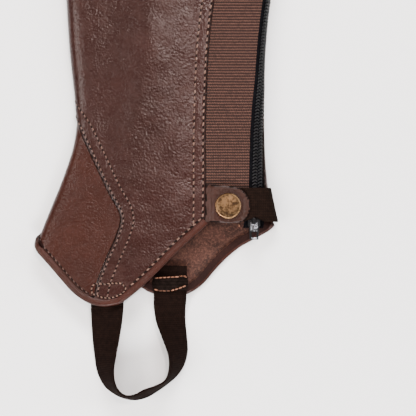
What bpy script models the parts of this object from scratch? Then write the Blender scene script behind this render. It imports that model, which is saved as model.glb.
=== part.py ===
"""Leather half chap (gaiter), lying flat on its far side, foot end towards -Y.

The leg is a flattened tube of leather, elastic and zip. A point on it is given by
its height above the lowest point of the near hem and by its distance along the wall
from the shin fold: positive over the near layer, negative round the far layer.
Tables hold millimetres; meshes are made in metres.
"""
import math

import bmesh
import bpy
from mathutils import Vector
from mathutils.geometry import delaunay_2d_cdt

MM = 0.001

# The middle of the whole box, in the tables' millimetres
MIDDLE_X = 13.75
MIDDLE_Y = 186.47

# Heights
TOP_EDGE = 430.0
ELASTIC_FOOT = 53.0
TAPE_FOOT = 47.4
COIL_FOOT = 57.4

# Thicknesses and depths below the leather's outer face
LEATHER = 1.6
SEAM_GAP = 0.3
HEM_GAP = 0.45
FRONT_PANEL_DEPTH = 0.7
FRONT_PANEL_LEATHER = 1.5
ELASTIC_DEPTH = 0.8
ELASTIC_CLOTH = 1.4
TAPE_DEPTH = 1.5
TAPE_CLOTH = 1.0
COIL_WIDTH = 6.5
COIL_DEPTH = -0.35
COIL_HEIGHT = 1.3
ZIP_BAND = 10.3
BINDING_WIDTH = 3.1
BINDING_THICK = 3.0
CROWN = 1.5

# Spacing of the points inside a panel, and their distance from its cut edge
LEVEL_STEP = 9.0
ROW_STEP = 11.0
COLUMN_STEP = 13.0
EDGE_CLEAR = 3.0
SMALL_STEP = 3.4
SMALL_CLEAR = 1.35
FOLD_PIECES = 4

# Lock strap, tab and snap
STRAP_CLOTH = 1.3
TAB_LEATHER = 1.4
TAB_LIFT = 0.45
OVER_ELASTIC = 0.5
ZIP_RAMP_START = 48.4
ZIP_RAMP = 4.6
ZIP_RISE = 1.15
ARCH_HALF_WIDTH = 7.5
ARCH_LENGTH = 10.0
ARCH_RISE = 1.9
TAB_RAMP_START = 28.3
TAB_RAMP = 4.7
LOCK_STRAP_END = 36.5
LOCK_STRAP_TOP = 71.6
LOCK_STRAP_FOOT = 51.0
SNAP_X = 40.8
SNAP_HEIGHT = 60.7
SNAP_RADIUS = 7.8
SNAP_DOME = 2.3

# Strap under the boot
UNDERFOOT_WIDTH = 19.8
UNDERFOOT_CLOTH = 1.8
FLOOR_GAP = 0.1

# Slider and pull
SLIDER_X = 56.4
SLIDER_WIDTH = 7.4
SLIDER_HEAD = 56.9
SLIDER_TAIL = 48.3
SLIDER_FACE = 1.2
SLIDER_THICK = 2.4
BRIDGE_WIDTH = 1.6
BRIDGE_LENGTH = 3.0
PIVOT_HEIGHT = 52.0
PIVOT_RISE = 0.75
PIVOT_HOLE = 0.95
PULL_LENGTH = 11.6
PULL_HEAD_WIDTH = 6.4
PULL_FOOT_WIDTH = 5.3
PULL_THICK = 0.8
PULL_BAR = 0.9
PULL_EYE_END = 2.35
PULL_SLOT_HALF = 1.45
PULL_SLOT_START = 7.0
PULL_SLOT_END = 9.9

# Outline of the tube: height, shin fold, back fold, total thickness
TUBE = [
    (-60.0, -126.4, 96.0, 13.0),
    (0.0, -95.4, 86.0, 13.0),
    (34.8, -76.8, 75.0, 13.2),
    (42.6, -73.4, 72.0, 13.3),
    (51.0, -70.0, 69.4, 13.4),
    (60.0, -66.4, 67.2, 13.5),
    (71.4, -61.6, 65.0, 13.5),
    (76.2, -59.8, 64.4, 13.5),
    (87.0, -55.9, 63.5, 13.5),
    (98.4, -52.6, 63.0, 13.5),
    (111.0, -51.0, 62.7, 13.5),
    (124.2, -51.5, 62.9, 13.6),
    (154.2, -54.7, 63.6, 14.3),
    (184.2, -56.6, 66.6, 15.0),
    (220.0, -58.8, 73.5, 16.2),
    (260.0, -61.0, 86.0, 17.4),
    (310.0, -62.9, 98.5, 18.3),
    (360.0, -63.5, 102.5, 18.5),
    (400.0, -63.0, 101.0, 18.0),
    (440.0, -62.0, 97.0, 17.0),
]

# Outer edge of the near hem's binding: x, height
NEAR_HEM = [
    (-75.9, 37.2), (-75.2, 34.4), (-68.0, 26.2), (-59.9, 16.8), (-51.9, 8.1), (-42.1, 1.8),
    (-32.4, 0.0), (-24.4, 1.5), (-15.0, 8.4), (-6.9, 15.6), (2.7, 25.2), (12.0, 34.8),
    (21.6, 43.4), (28.8, 49.8),
]

# The same on the far layer, from the shin fold to the back corner
FAR_HEM = [
    (-68.0, 41.6), (-57.0, 43.8), (-48.0, 43.0), (-39.3, 39.4), (-30.5, 32.2), (-22.5, 23.0),
    (-11.6, 11.4), (-3.7, 7.4), (5.0, 6.0), (16.2, 7.2), (25.2, 12.8), (31.5, 20.0),
    (39.3, 28.5), (48.4, 36.0), (55.6, 39.9), (62.2, 43.5), (69.4, 48.3),
]

# Seam of the leg leather over the instep piece, near layer: x, height
FRONT_SEAM = [
    (-49.2, 107.0), (-43.5, 95.1), (-37.2, 81.6), (-30.7, 68.0), (-25.4, 58.8), (-23.6, 52.2),
    (-26.0, 44.2), (-30.7, 33.0), (-34.8, 23.4), (-37.9, 14.7), (-40.0, 4.0),
]
SHIN_CENTRE = -17.7
SEAM_PEAK = 124.0
SEAM_AT_FOLD = 112.5
FAR_SEAM_LIFT = 6.0

# Edge of the leather against the elastic: height, x
ELASTIC_EDGE = [
    (40.0, 27.2), (74.0, 27.4), (108.0, 27.5), (154.0, 29.3), (184.2, 32.7), (220.0, 38.5),
    (260.0, 49.0), (310.0, 60.5), (360.0, 64.0), (400.0, 62.0), (440.0, 58.5),
]

# Middle of the zip: height, distance along the wall from the back fold
ZIP_LINE = [
    (44.0, -19.4), (51.0, -16.3), (60.0, -12.6), (71.0, -9.9), (90.0, -7.7), (105.0, -6.8),
    (120.0, -5.8), (184.0, -3.2), (440.0, -3.2),
]

# Back edge of the far layer below the zip: height, distance from the back fold
BACK_CORNER = [(62.0, -6.4), (58.0, -4.8), (54.8, -2.4)]

# Snap tab: x, height
TAB_OUTLINE = [
    (27.9, 51.3), (29.0, 73.4), (37.0, 72.9), (44.4, 72.1), (48.6, 70.6), (51.8, 67.4),
    (53.8, 63.2), (54.0, 59.4), (52.9, 55.6), (51.0, 52.6), (48.2, 50.9), (42.0, 50.4),
    (35.0, 50.7),
]

# Strap under the boot, from inside the near layer round to inside the far layer:
# outer edge x and y, inner edge x and y, height of its middle over the floor
UNDERFOOT = [
    (-41.6, 14.0, -21.7, 14.0, 8.5),
    (-41.8, 2.0, -21.8, 2.6, 8.5),
    (-41.3, -9.0, -22.9, -9.2, 8.7),
    (-40.7, -18.6, -24.4, -18.6, 9.2),
    (-39.6, -28.8, -26.2, -28.0, 9.9),
    (-37.8, -39.6, -27.6, -36.6, 10.4),
    (-33.4, -48.2, -27.2, -43.8, 10.8),
    (-27.0, -53.2, -24.7, -49.6, 11.0),
    (-20.4, -55.6, -20.6, -52.8, 11.0),
    (-13.8, -56.3, -15.3, -52.3, 10.9),
    (-7.2, -54.4, -9.2, -49.2, 10.7),
    (-1.2, -50.6, -3.0, -47.2, 10.5),
    (4.4, -46.4, 2.0, -44.9, 10.4),
    (10.2, -41.5, 4.6, -41.2, 10.0),
    (14.3, -35.0, 5.8, -35.4, 9.0),
    (16.2, -27.0, 5.2, -28.2, 7.2),
    (15.8, -18.6, 1.6, -18.6, 5.6),
    (15.0, -9.6, -2.0, -9.4, 4.6),
    (15.1, -1.5, -3.6, -1.5, 4.8),
    (15.8, 5.0, -4.0, 5.0, 4.7),
    (15.9, 12.0, -4.0, 12.0, 4.4),
    (16.0, 17.5, -3.8, 17.5, 3.5),
    (16.1, 24.4, -3.8, 24.8, 3.4),
]
PATCH_LOW = 9.6
PATCH_HIGH = 18.0
PATCH_CLOTH = 1.6


def table_value(rows, key, column=1):
    """Straight-line reading of a table whose first column rises."""
    if key <= rows[0][0]:
        return rows[0][column]
    for low, high in zip(rows, rows[1:]):
        if key <= high[0]:
            share = (key - low[0]) / (high[0] - low[0])
            return low[column] + share * (high[column] - low[column])
    return rows[-1][column]


def smooth_points(points, step):
    """Catmull-Rom curve through the points, with a point about every step."""
    count = len(points)
    dimensions = range(len(points[0]))
    result = []
    for index in range(count - 1):
        before, start, end, after = [
            points[min(max(index + shift, 0), count - 1)] for shift in (-1, 0, 1, 2)]
        length = math.sqrt(sum((end[axis] - start[axis]) ** 2 for axis in dimensions))
        pieces = max(1, round(length / step))
        for piece in range(pieces):
            part = piece / pieces
            result.append(tuple(
                0.5 * (2.0 * start[axis] + (end[axis] - before[axis]) * part
                       + (2.0 * before[axis] - 5.0 * start[axis] + 4.0 * end[axis] - after[axis])
                       * part ** 2
                       + (3.0 * start[axis] - before[axis] - 3.0 * end[axis] + after[axis])
                       * part ** 3)
                for axis in dimensions))
    result.append(tuple(points[-1]))
    return result


def ease(value):
    value = min(max(value, 0.0), 1.0)
    return value * value * (3.0 - 2.0 * value)


SMOOTH_TUBE = smooth_points(TUBE, 6.0)
SMOOTH_ELASTIC_EDGE = smooth_points(ELASTIC_EDGE, 6.0)
SMOOTH_ZIP_LINE = smooth_points(ZIP_LINE, 6.0)


class Section:
    """The tube's outer outline at one height: two half-round folds, a flat far layer
    on the floor and a slightly crowned near layer."""

    def __init__(self, height):
        self.left = table_value(SMOOTH_TUBE, height, 1)
        self.right = table_value(SMOOTH_TUBE, height, 2)
        self.radius = (table_value(SMOOTH_TUBE, height, 3) - CROWN) / 2.0
        self.quarter = self.radius * math.pi / 2.0
        self.flat = self.right - self.left - 2.0 * self.radius
        self.half = 2.0 * self.quarter + self.flat

    def distance(self, x):
        """Distance from the shin fold to a place x on one layer."""
        from_left = x - self.left
        from_right = self.right - x
        if from_left < self.radius:
            return self.radius * math.acos(1.0 - max(from_left, 0.0) / self.radius)
        if from_right < self.radius:
            turn = math.acos(1.0 - max(from_right, 0.0) / self.radius)
            return self.half - self.radius * turn
        return self.quarter + from_left - self.radius

    def point(self, along):
        """x, z and outward direction at a distance along the wall."""
        whole = 2.0 * self.half
        along = (along + self.half) % whole - self.half
        near = along >= 0.0
        layer = abs(along)
        if layer < self.quarter:
            turn = layer / self.radius
            x = self.left + self.radius * (1.0 - math.cos(turn))
            out_x, out_z = -math.cos(turn), math.sin(turn)
        elif layer > self.quarter + self.flat:
            turn = (self.half - layer) / self.radius
            x = self.right - self.radius * (1.0 - math.cos(turn))
            out_x, out_z = math.cos(turn), math.sin(turn)
        else:
            x = self.left + self.radius + layer - self.quarter
            out_x, out_z = 0.0, 1.0
        rise = self.radius * out_z
        if not near:
            return x, self.radius - rise, out_x, -out_z
        if self.quarter <= layer <= self.quarter + self.flat:
            share = (layer - self.quarter) / self.flat
            rise += CROWN * 0.5 * (1.0 - math.cos(2.0 * math.pi * share))
        return x, self.radius + rise, out_x, out_z


def wall_point(along, height, depth=0.0):
    """World position of a point of the wall, moved in by a depth."""
    x, z, out_x, out_z = Section(height).point(along)
    return Vector((
        (x - depth * out_x - MIDDLE_X) * MM,
        (height - MIDDLE_Y) * MM,
        (z - depth * out_z) * MM,
    ))


def near_distance(x, height):
    return Section(height).distance(x)


def far_distance(x, height):
    return -Section(height).distance(x)


def back_distance(height, beyond):
    """Near-layer distance of a place given from the back fold."""
    return Section(height).half + beyond


def clear_scene():
    for thing in list(bpy.data.objects):
        bpy.data.objects.remove(thing, do_unlink=True)


def collection(name):
    group = bpy.data.collections.new(name)
    bpy.context.scene.collection.children.link(group)
    return group


def material(name, colour, roughness, metallic=0.0):
    finish = bpy.data.materials.new(name)
    finish.use_nodes = True
    shader = finish.node_tree.nodes["Principled BSDF"]
    shader.inputs["Base Color"].default_value = (*colour, 1.0)
    shader.inputs["Roughness"].default_value = roughness
    shader.inputs["Metallic"].default_value = metallic
    finish.diffuse_color = (*colour, 1.0)
    return finish


def mesh_object(name, points, faces, finish, group):
    mesh = bpy.data.meshes.new(name)
    mesh.from_pydata(points, [], faces)
    mesh.materials.append(finish)
    mesh.shade_smooth()
    mesh.set_sharp_from_angle(angle=math.radians(40.0))
    thing = bpy.data.objects.new(name, mesh)
    group.objects.link(thing)
    return thing


def inside(outline, along, height):
    crossings = False
    previous = outline[-1]
    for current in outline:
        if (current[1] > height) != (previous[1] > height):
            share = (height - current[1]) / (previous[1] - current[1])
            if along < current[0] + share * (previous[0] - current[0]):
                crossings = not crossings
        previous = current
    return crossings


def edge_clearance(outline, along, height):
    best = 1.0e9
    previous = outline[-1]
    for current in outline:
        run = (current[0] - previous[0], current[1] - previous[1])
        size = run[0] ** 2 + run[1] ** 2
        share = 0.0
        if size > 0.0:
            share = ((along - previous[0]) * run[0] + (height - previous[1]) * run[1]) / size
            share = min(max(share, 0.0), 1.0)
        gap = math.hypot(along - previous[0] - share * run[0],
                         height - previous[1] - share * run[1])
        best = min(best, gap)
        previous = current
    return best


def grid_columns(height, spacing):
    """Distances along the wall where a row has points: close together in the folds."""
    section = Section(height)
    columns = []
    for piece in range(FOLD_PIECES):
        columns.append(section.quarter * piece / FOLD_PIECES)
    pieces = max(2, round(section.flat / spacing))
    for piece in range(pieces):
        columns.append(section.quarter + section.flat * piece / pieces)
    for piece in range(FOLD_PIECES + 1):
        columns.append(section.quarter + section.flat + section.quarter * piece / FOLD_PIECES)
    return columns


def grid_places(outline, rows, spacing, clear):
    """Inner points of a panel, row by row, clear of its cut edge."""
    places = []
    low = min(corner[1] for corner in outline)
    high = max(corner[1] for corner in outline)
    count = max(2, round((high - low) / rows))
    for row in range(1, count):
        height = low + (high - low) * row / count
        columns = grid_columns(height, spacing)
        for along in [-value for value in columns[1:]] + columns:
            if inside(outline, along, height):
                if edge_clearance(outline, along, height) > clear:
                    places.append((along, height))
    return places


def panel(name, outline, depth, thickness, finish, group, places=None, depth_at=None):
    """A wall piece cut to an outline in distance along the wall and height."""
    if places is None:
        places = grid_places(outline, ROW_STEP, COLUMN_STEP, EDGE_CLEAR)
    points = [Vector(corner) for corner in list(outline) + places]
    corners = len(outline)
    flat, _, faces, _, _, _ = delaunay_2d_cdt(
        points, [], [list(range(corners))], 1, 0.0001)
    outer = []
    inner = []
    for along, height in flat:
        inward = depth if depth_at is None else depth_at(along, height)
        outer.append(wall_point(along, height, inward))
        inner.append(wall_point(along, height, inward + thickness))
    skin = []
    for face in faces:
        loop = list(face)
        area = 0.0
        for first, second in zip(loop, loop[1:] + loop[:1]):
            area += flat[first][0] * flat[second][1] - flat[second][0] * flat[first][1]
        if area < 0.0:
            loop.reverse()
        skin.append(loop)
    count = len(flat)
    solid = skin + [[count + corner for corner in reversed(loop)] for loop in skin]
    edges = {(loop[index - 1], loop[index]) for loop in skin for index in range(len(loop))}
    for start, end in sorted(edges):
        if (end, start) not in edges:
            solid.append([end, start, count + start, count + end])
    return mesh_object(name, outer + inner, solid, finish, group)


def sweep(name, stations, width, thickness, finish, group, corner=0.7):
    """A bar of rounded section through stations of (middle, across, out)."""
    half_w = width / 2.0
    half_t = thickness / 2.0
    profile = [
        (half_w - corner, half_t), (half_w, half_t - corner),
        (half_w, corner - half_t), (half_w - corner, -half_t),
        (corner - half_w, -half_t), (-half_w, corner - half_t),
        (-half_w, half_t - corner), (corner - half_w, half_t),
    ]
    count = len(profile)
    points = []
    faces = []
    for middle, across, out in stations:
        for side, up in profile:
            points.append(middle + across * (side * MM) + out * (up * MM))
    for station in range(len(stations) - 1):
        for index in range(count):
            following = (index + 1) % count
            base = station * count
            faces.append([base + index, base + following,
                          base + count + following, base + count + index])
    faces.append(list(range(count - 1, -1, -1)))
    last = (len(stations) - 1) * count
    faces.append([last + index for index in range(count)])
    return mesh_object(name, points, faces, finish, group)


def hem_line():
    """The hem's outer edge from the near end to the back corner, as (along, height)."""
    near = [(near_distance(x, height), height) for x, height in reversed(NEAR_HEM)]
    far = [(far_distance(x, height), height) for x, height in FAR_HEM]
    return smooth_points(near + far, 5.0)


def sideways(place, run):
    """Step in (along, height) that is one millimetre to the left of a run on the wall."""
    here = wall_point(*place)
    across = (wall_point(place[0] + 0.5, place[1]) - here) / (0.5 * MM)
    upward = (wall_point(place[0], place[1] + 0.5) - here) / (0.5 * MM)
    squared, mixed, risen = across.dot(across), across.dot(upward), upward.dot(upward)
    left = (-(mixed * run[0] + risen * run[1]), squared * run[0] + mixed * run[1])
    size = math.sqrt(squared * left[0] ** 2 + 2.0 * mixed * left[0] * left[1]
                     + risen * left[1] ** 2)
    return left[0] / size, left[1] / size


def inset(line, distance):
    """The line moved to its left-hand side, as seen when walking along it."""
    moved = []
    for index, current in enumerate(line):
        before = line[max(index - 1, 0)]
        after = line[min(index + 1, len(line) - 1)]
        step = sideways(current, (after[0] - before[0], after[1] - before[1]))
        moved.append((current[0] + distance * step[0], current[1] + distance * step[1]))
    return moved


def without_backtracks(line):
    """Points whose distance along the wall keeps falling."""
    kept = [line[0]]
    for current in line[1:]:
        if current[0] < kept[-1][0] - 0.4:
            kept.append(current)
    return kept


HEM = hem_line()
PANEL_HEM = without_backtracks(inset(HEM, -(BINDING_WIDTH + HEM_GAP)))
PANEL_HEM_RISING = list(reversed(PANEL_HEM))


def hem_height(along):
    return table_value(PANEL_HEM_RISING, along)


def front_seam():
    """The instep seam from the near hem over the shin to the far hem."""
    near = [(near_distance(x, height), height) for x, height in reversed(FRONT_SEAM)]
    far = []
    for along, height in reversed(near):
        lift = FAR_SEAM_LIFT * (1.0 - height / SEAM_AT_FOLD)
        far.append((2.0 * SHIN_CENTRE - along, height + lift))
    peak = [
        (0.5, SEAM_AT_FOLD),
        (SHIN_CENTRE * 0.5, SEAM_AT_FOLD + 0.8 * (SEAM_PEAK - SEAM_AT_FOLD)),
        (SHIN_CENTRE, SEAM_PEAK),
        (SHIN_CENTRE * 1.5, SEAM_AT_FOLD + 0.8 * (SEAM_PEAK - SEAM_AT_FOLD)),
        (2.0 * SHIN_CENTRE - 0.5, SEAM_AT_FOLD),
    ]
    line = smooth_points(near + peak + far, 6.0)
    return [corner for corner in line if corner[1] > hem_height(corner[0]) + 2.0]


def end_on_hem(line):
    """The line with its two ends carried down to the panels' hem edge."""
    first, last = line[0], line[-1]
    start = (first[0] - 0.6, hem_height(first[0] - 0.6))
    finish = (last[0] - 0.2, hem_height(last[0] - 0.2))
    return [start] + line + [finish]


SEAM = front_seam()


def hem_between(high, low):
    """Corners of the panels' hem edge between two distances, from high to low."""
    return [corner for corner in PANEL_HEM if low + 1.5 < corner[0] < high - 1.5]


def rising(start, end, step):
    count = max(1, round((end - start) / step))
    return [start + (end - start) * index / count for index in range(count + 1)]


def levels(foot, head):
    """Heights from foot to head, at the steps that every upright edge shares."""
    first = math.ceil((foot + 2.0) / LEVEL_STEP)
    last = math.floor((head - 2.0) / LEVEL_STEP)
    return [foot] + [LEVEL_STEP * index for index in range(first, last + 1)] + [head]


PANEL_TOP = TOP_EDGE - BINDING_WIDTH - SEAM_GAP


def elastic_edge(height):
    return near_distance(table_value(SMOOTH_ELASTIC_EDGE, height), height)


def zip_middle(height):
    return back_distance(height, table_value(SMOOTH_ZIP_LINE, height))


def top_row(high, low, height):
    """Corners along a level edge, one at each grid column."""
    columns = grid_columns(height, COLUMN_STEP)
    places = sorted(set([-value for value in columns[1:]] + columns), reverse=True)
    return [(along, height) for along in places if low + 1.5 < along < high - 1.5]


def round_once(height):
    return 2.0 * Section(height).half


def main_outline():
    """Leg leather: elastic edge, near hem, seam, far hem, back edge and top."""
    half_gap = SEAM_GAP / 2.0
    foot = hem_height(elastic_edge(52.0))
    down = [(elastic_edge(height) - half_gap, height)
            for height in reversed(levels(foot, PANEL_TOP))]
    seam = end_on_hem(SEAM)
    near_hem = hem_between(down[-1][0], seam[0][0])
    corner = back_edge_low()
    far_hem = hem_between(seam[-1][0], corner[0][0])
    back = corner + [(zip_middle(height) + ZIP_BAND / 2.0 + half_gap - round_once(height), height)
                     for height in levels(66.0, PANEL_TOP)]
    top = top_row(down[0][0], back[-1][0], PANEL_TOP)
    top.reverse()
    return down + near_hem + seam + far_hem + back + top


def back_edge_low():
    """The far layer's free back edge, from the hem corner up to the zip."""
    edge = []
    for height, beyond in reversed(BACK_CORNER):
        edge.append((back_distance(height, beyond) - round_once(height), height))
    return edge


def front_outline():
    """Instep piece: inside the seam, then back along the hem."""
    line = end_on_hem(inset(SEAM, SEAM_GAP))
    hem = hem_between(line[0][0], line[-1][0])
    hem.reverse()
    return line + hem


def strip_outline(left_edge, right_edge, foot, head):
    """A strip between two edges given as functions of height."""
    heights = levels(foot, head)
    going_up = [(right_edge(height), height) for height in heights]
    going_down = [(left_edge(height), height) for height in reversed(heights)]
    return going_up + going_down


def along_hem_stations():
    line = inset(HEM, -BINDING_WIDTH / 2.0)
    kept = [line[0]]
    for current in line[1:]:
        if math.hypot(current[0] - kept[-1][0], current[1] - kept[-1][1]) > 2.5:
            kept.append(current)
    return kept


def bead_depth(along, height):
    """Middle of a binding: astride the leather, but flush where it lies on the floor."""
    section = Section(height)
    to_floor = ease((-along) / section.quarter)
    beyond_back = section.half + along
    if along < 0.0 and beyond_back < section.quarter:
        to_floor = ease(beyond_back / section.quarter)
    astride = LEATHER / 2.0
    flush = BINDING_THICK / 2.0 + 0.05
    return astride + to_floor * (flush - astride)


def binding(name, line, finish, group):
    stations = []
    count = len(line)
    for index, (along, height) in enumerate(line):
        before = line[max(index - 1, 0)]
        after = line[min(index + 1, count - 1)]
        middle = wall_point(along, height, bead_depth(along, height))
        start = wall_point(*before, bead_depth(*before))
        end = wall_point(*after, bead_depth(*after))
        _, _, out_x, out_z = Section(height).point(along)
        out = Vector((out_x, 0.0, out_z))
        run = (end - start).normalized()
        out = (out - run * out.dot(run)).normalized()
        across = run.cross(out)
        stations.append((middle, across, out))
    return sweep(name, stations, BINDING_WIDTH, BINDING_THICK, finish, group, 0.9)


def lock_strap_depth(along, height):
    """Outer face of the lock strap: on the elastic, then over zip, slider and fold."""
    section = Section(height)
    x = section.point(along)[0]
    over_zip = ease((x - ZIP_RAMP_START) / ZIP_RAMP) if along < section.half else 1.0
    to_slider = math.hypot((along - zip_middle(height)) / ARCH_HALF_WIDTH,
                           (height - LOCK_STRAP_FOOT) / ARCH_LENGTH)
    arch = max(0.0, 1.0 - to_slider ** 2)
    inner = -OVER_ELASTIC + ZIP_RISE * over_zip + ARCH_RISE * arch
    return -(inner + STRAP_CLOTH)


def tab_depth(along, height):
    """Outer face of the tab: on the elastic at its sewn end, then over the strap."""
    section = Section(height)
    x = section.point(along)[0]
    low = TAB_LEATHER - OVER_ELASTIC
    over = TAB_LIFT + TAB_LEATHER - lock_strap_depth(along, height)
    return -(low + (over - low) * ease((x - TAB_RAMP_START) / TAB_RAMP))


def lock_strap_outline():
    def lower(along):
        near_zip = (along - zip_middle(52.0)) / 4.2
        return LOCK_STRAP_FOOT + 3.2 * math.exp(-near_zip ** 2)
    start = near_distance(LOCK_STRAP_END, 60.0)
    lower_end = Section(LOCK_STRAP_FOOT).half + Section(LOCK_STRAP_FOOT).quarter * 0.5
    upper_end = Section(LOCK_STRAP_TOP).half + Section(LOCK_STRAP_TOP).quarter * 0.5
    foot = [(along, lower(along)) for along in rising(start, lower_end, 1.6)]
    side = [(lower_end + (upper_end - lower_end) * share,
             LOCK_STRAP_FOOT + (LOCK_STRAP_TOP - LOCK_STRAP_FOOT) * share)
            for share in (0.33, 0.67)]
    top = [(along, LOCK_STRAP_TOP) for along in reversed(rising(start, upper_end, 2.4))]
    return foot + side + top


def beside_zip(offsets, foot):
    """Inner points of a strip along the zip, at steady distances from its middle."""
    return [(zip_middle(height) + offset, height)
            for height in levels(foot, PANEL_TOP)[1:-1] for offset in offsets]


def make_panels(group, leather, instep, elastic, tape):
    panel("main_panel", main_outline(), 0.0, LEATHER, leather, group)
    panel("front_panel", front_outline(), FRONT_PANEL_DEPTH, FRONT_PANEL_LEATHER, instep, group)
    half_gap = SEAM_GAP / 2.0
    panel("elastic_panel", strip_outline(
        lambda height: elastic_edge(height) + half_gap,
        lambda height: zip_middle(height) - ZIP_BAND / 2.0 - half_gap,
        ELASTIC_FOOT, PANEL_TOP), ELASTIC_DEPTH, ELASTIC_CLOTH, elastic, group)
    panel("zip_tape_near", strip_outline(
        lambda height: zip_middle(height) - ZIP_BAND / 2.0 + half_gap,
        lambda height: zip_middle(height) - half_gap,
        TAPE_FOOT, PANEL_TOP), TAPE_DEPTH, TAPE_CLOTH, tape, group,
        beside_zip((-3.6, -1.9), TAPE_FOOT))
    panel("zip_tape_far", strip_outline(
        lambda height: zip_middle(height) + half_gap,
        lambda height: zip_middle(height) + ZIP_BAND / 2.0 - half_gap,
        TAPE_FOOT, PANEL_TOP), TAPE_DEPTH, TAPE_CLOTH, tape, group,
        beside_zip((1.9, 3.6), TAPE_FOOT))


def make_zip_coil(group, finish):
    half = COIL_WIDTH / 2.0

    def across(share):
        return lambda height: zip_middle(height) + half * share
    heights = levels(COIL_FOOT, PANEL_TOP)
    outline = [(across(1.0)(height), height) for height in heights]
    outline += [(across(-1.0)(height), height) for height in reversed(heights)]
    panel("zip_coil", outline, COIL_DEPTH, COIL_HEIGHT, finish, group,
          beside_zip((-1.7, 0.0, 1.7), COIL_FOOT))


def make_bindings(group, finish):
    binding("hem_binding", along_hem_stations(), finish, group)
    height = TOP_EDGE - BINDING_WIDTH / 2.0
    start = zip_middle(height) - 0.6
    end = zip_middle(height) + 0.6 - round_once(height)
    line = [(start, height)] + top_row(start, end, height) + [(end, height)]
    binding("top_binding", line, finish, group)


def make_snap(group, leather, brass):
    outline = [(near_distance(x, height), height) for x, height in TAB_OUTLINE]
    rounded = smooth_points(outline[1:] + outline[:1], SMALL_STEP)
    panel("snap_tab", outline[:1] + rounded[:-1], 0.0, TAB_LEATHER, leather, group,
          grid_places(outline, SMALL_STEP, SMALL_STEP, SMALL_CLEAR), tab_depth)
    rim = []
    for turn in range(12):
        angle = turn * math.pi / 6.0
        height = SNAP_HEIGHT + SNAP_RADIUS * math.sin(angle)
        along = near_distance(SNAP_X + SNAP_RADIUS * math.cos(angle), height)
        rim.append(wall_point(along, height, tab_depth(along, height)).z)
    seat = Vector(((SNAP_X - MIDDLE_X) * MM, (SNAP_HEIGHT - MIDDLE_Y) * MM,
                   max(rim) + SEAM_GAP * MM))
    profile = [
        (0.0, 1.0), (0.45, 0.98), (0.7, 0.92), (0.8, 0.84), (0.86, 0.8), (0.93, 0.82),
        (0.985, 0.62), (1.0, 0.3), (0.97, 0.0), (0.0, 0.0),
    ]
    mesh = bpy.data.meshes.new("snap_cap")
    corners = [(share * SNAP_RADIUS * MM, 0.0, rise * SNAP_DOME * MM) for share, rise in profile]
    mesh.from_pydata(corners, [(index, index + 1) for index in range(len(corners) - 1)], [])
    mesh.materials.append(brass)
    cap = bpy.data.objects.new("snap_cap", mesh)
    group.objects.link(cap)
    cap.location = seat
    turn = cap.modifiers.new("Turned", "SCREW")
    turn.steps = 40
    turn.render_steps = 40
    turn.use_merge_vertices = True
    turn.merge_threshold = 0.00002
    turn.use_smooth_shade = True


def make_lock_strap(group, webbing):
    outline = lock_strap_outline()
    panel("lock_strap", outline, 0.0, STRAP_CLOTH, webbing, group,
          grid_places(outline, SMALL_STEP, SMALL_STEP, SMALL_CLEAR), lock_strap_depth)


def underfoot_stations(rows):
    stations = []
    edges = []
    for outer_x, outer_y, inner_x, inner_y, middle_z in rows:
        shown = math.hypot(inner_x - outer_x, inner_y - outer_y)
        rise = math.sqrt(max(UNDERFOOT_WIDTH ** 2 - shown ** 2, 0.0)) / 2.0
        level = min(shown / UNDERFOOT_WIDTH, 1.0)
        lowest_middle = rise + UNDERFOOT_CLOTH / 2.0 * level + FLOOR_GAP
        middle_z = max(middle_z, lowest_middle)
        outer = Vector((outer_x - MIDDLE_X, outer_y - MIDDLE_Y, middle_z - rise)) * MM
        inner = Vector((inner_x - MIDDLE_X, inner_y - MIDDLE_Y, middle_z + rise)) * MM
        edges.append((outer, inner))
    for index, (outer, inner) in enumerate(edges):
        before = edges[max(index - 1, 0)]
        after = edges[min(index + 1, len(edges) - 1)]
        run = (after[0] + after[1] - before[0] - before[1]).normalized()
        across = (inner - outer).normalized()
        out = across.cross(run).normalized()
        stations.append(((outer + inner) / 2.0, across, out))
    return stations


def make_underfoot_strap(group, webbing):
    """The strap, and its end turned back over itself inside the far layer."""
    stations = underfoot_stations(smooth_points(UNDERFOOT, 4.0))
    sweep("underfoot_strap", stations, UNDERFOOT_WIDTH, UNDERFOOT_CLOTH, webbing, group, 0.5)
    sewn_end = underfoot_stations(smooth_points(UNDERFOOT[-5:], 1.5))
    lift = UNDERFOOT_CLOTH / 2.0 + SEAM_GAP + PATCH_CLOTH / 2.0
    patch = []
    for middle, across, out in sewn_end:
        height = middle.y / MM + MIDDLE_Y
        if PATCH_LOW <= height <= PATCH_HIGH:
            upward = out if out.z > 0.0 else -out
            patch.append((middle + upward * (lift * MM), across, out))
    sweep("strap_end_patch", patch, UNDERFOOT_WIDTH + 0.8, PATCH_CLOTH, webbing, group, 0.5)


def box_object(name, low, high, finish, group, bevel=0.0):
    bpy.ops.mesh.primitive_cube_add(size=1.0)
    thing = bpy.context.object
    thing.name = name
    thing.data.name = name
    for corner in thing.data.vertices:
        place = [low[axis] + (corner.co[axis] + 0.5) * (high[axis] - low[axis])
                 for axis in range(3)]
        corner.co = Vector(place)
    if finish is not None:
        thing.data.materials.append(finish)
    for other in list(thing.users_collection):
        other.objects.unlink(thing)
    group.objects.link(thing)
    if bevel > 0.0:
        rounding = thing.modifiers.new("Rounding", "BEVEL")
        rounding.width = bevel
        rounding.segments = 2
    return thing


def as_cutter(thing):
    thing.hide_render = True
    thing.display_type = "WIRE"
    thing.hide_set(True)


def pivot_place():
    along = near_distance(SLIDER_X, PIVOT_HEIGHT)
    return wall_point(along, PIVOT_HEIGHT, -(SLIDER_FACE + PIVOT_RISE))


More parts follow.
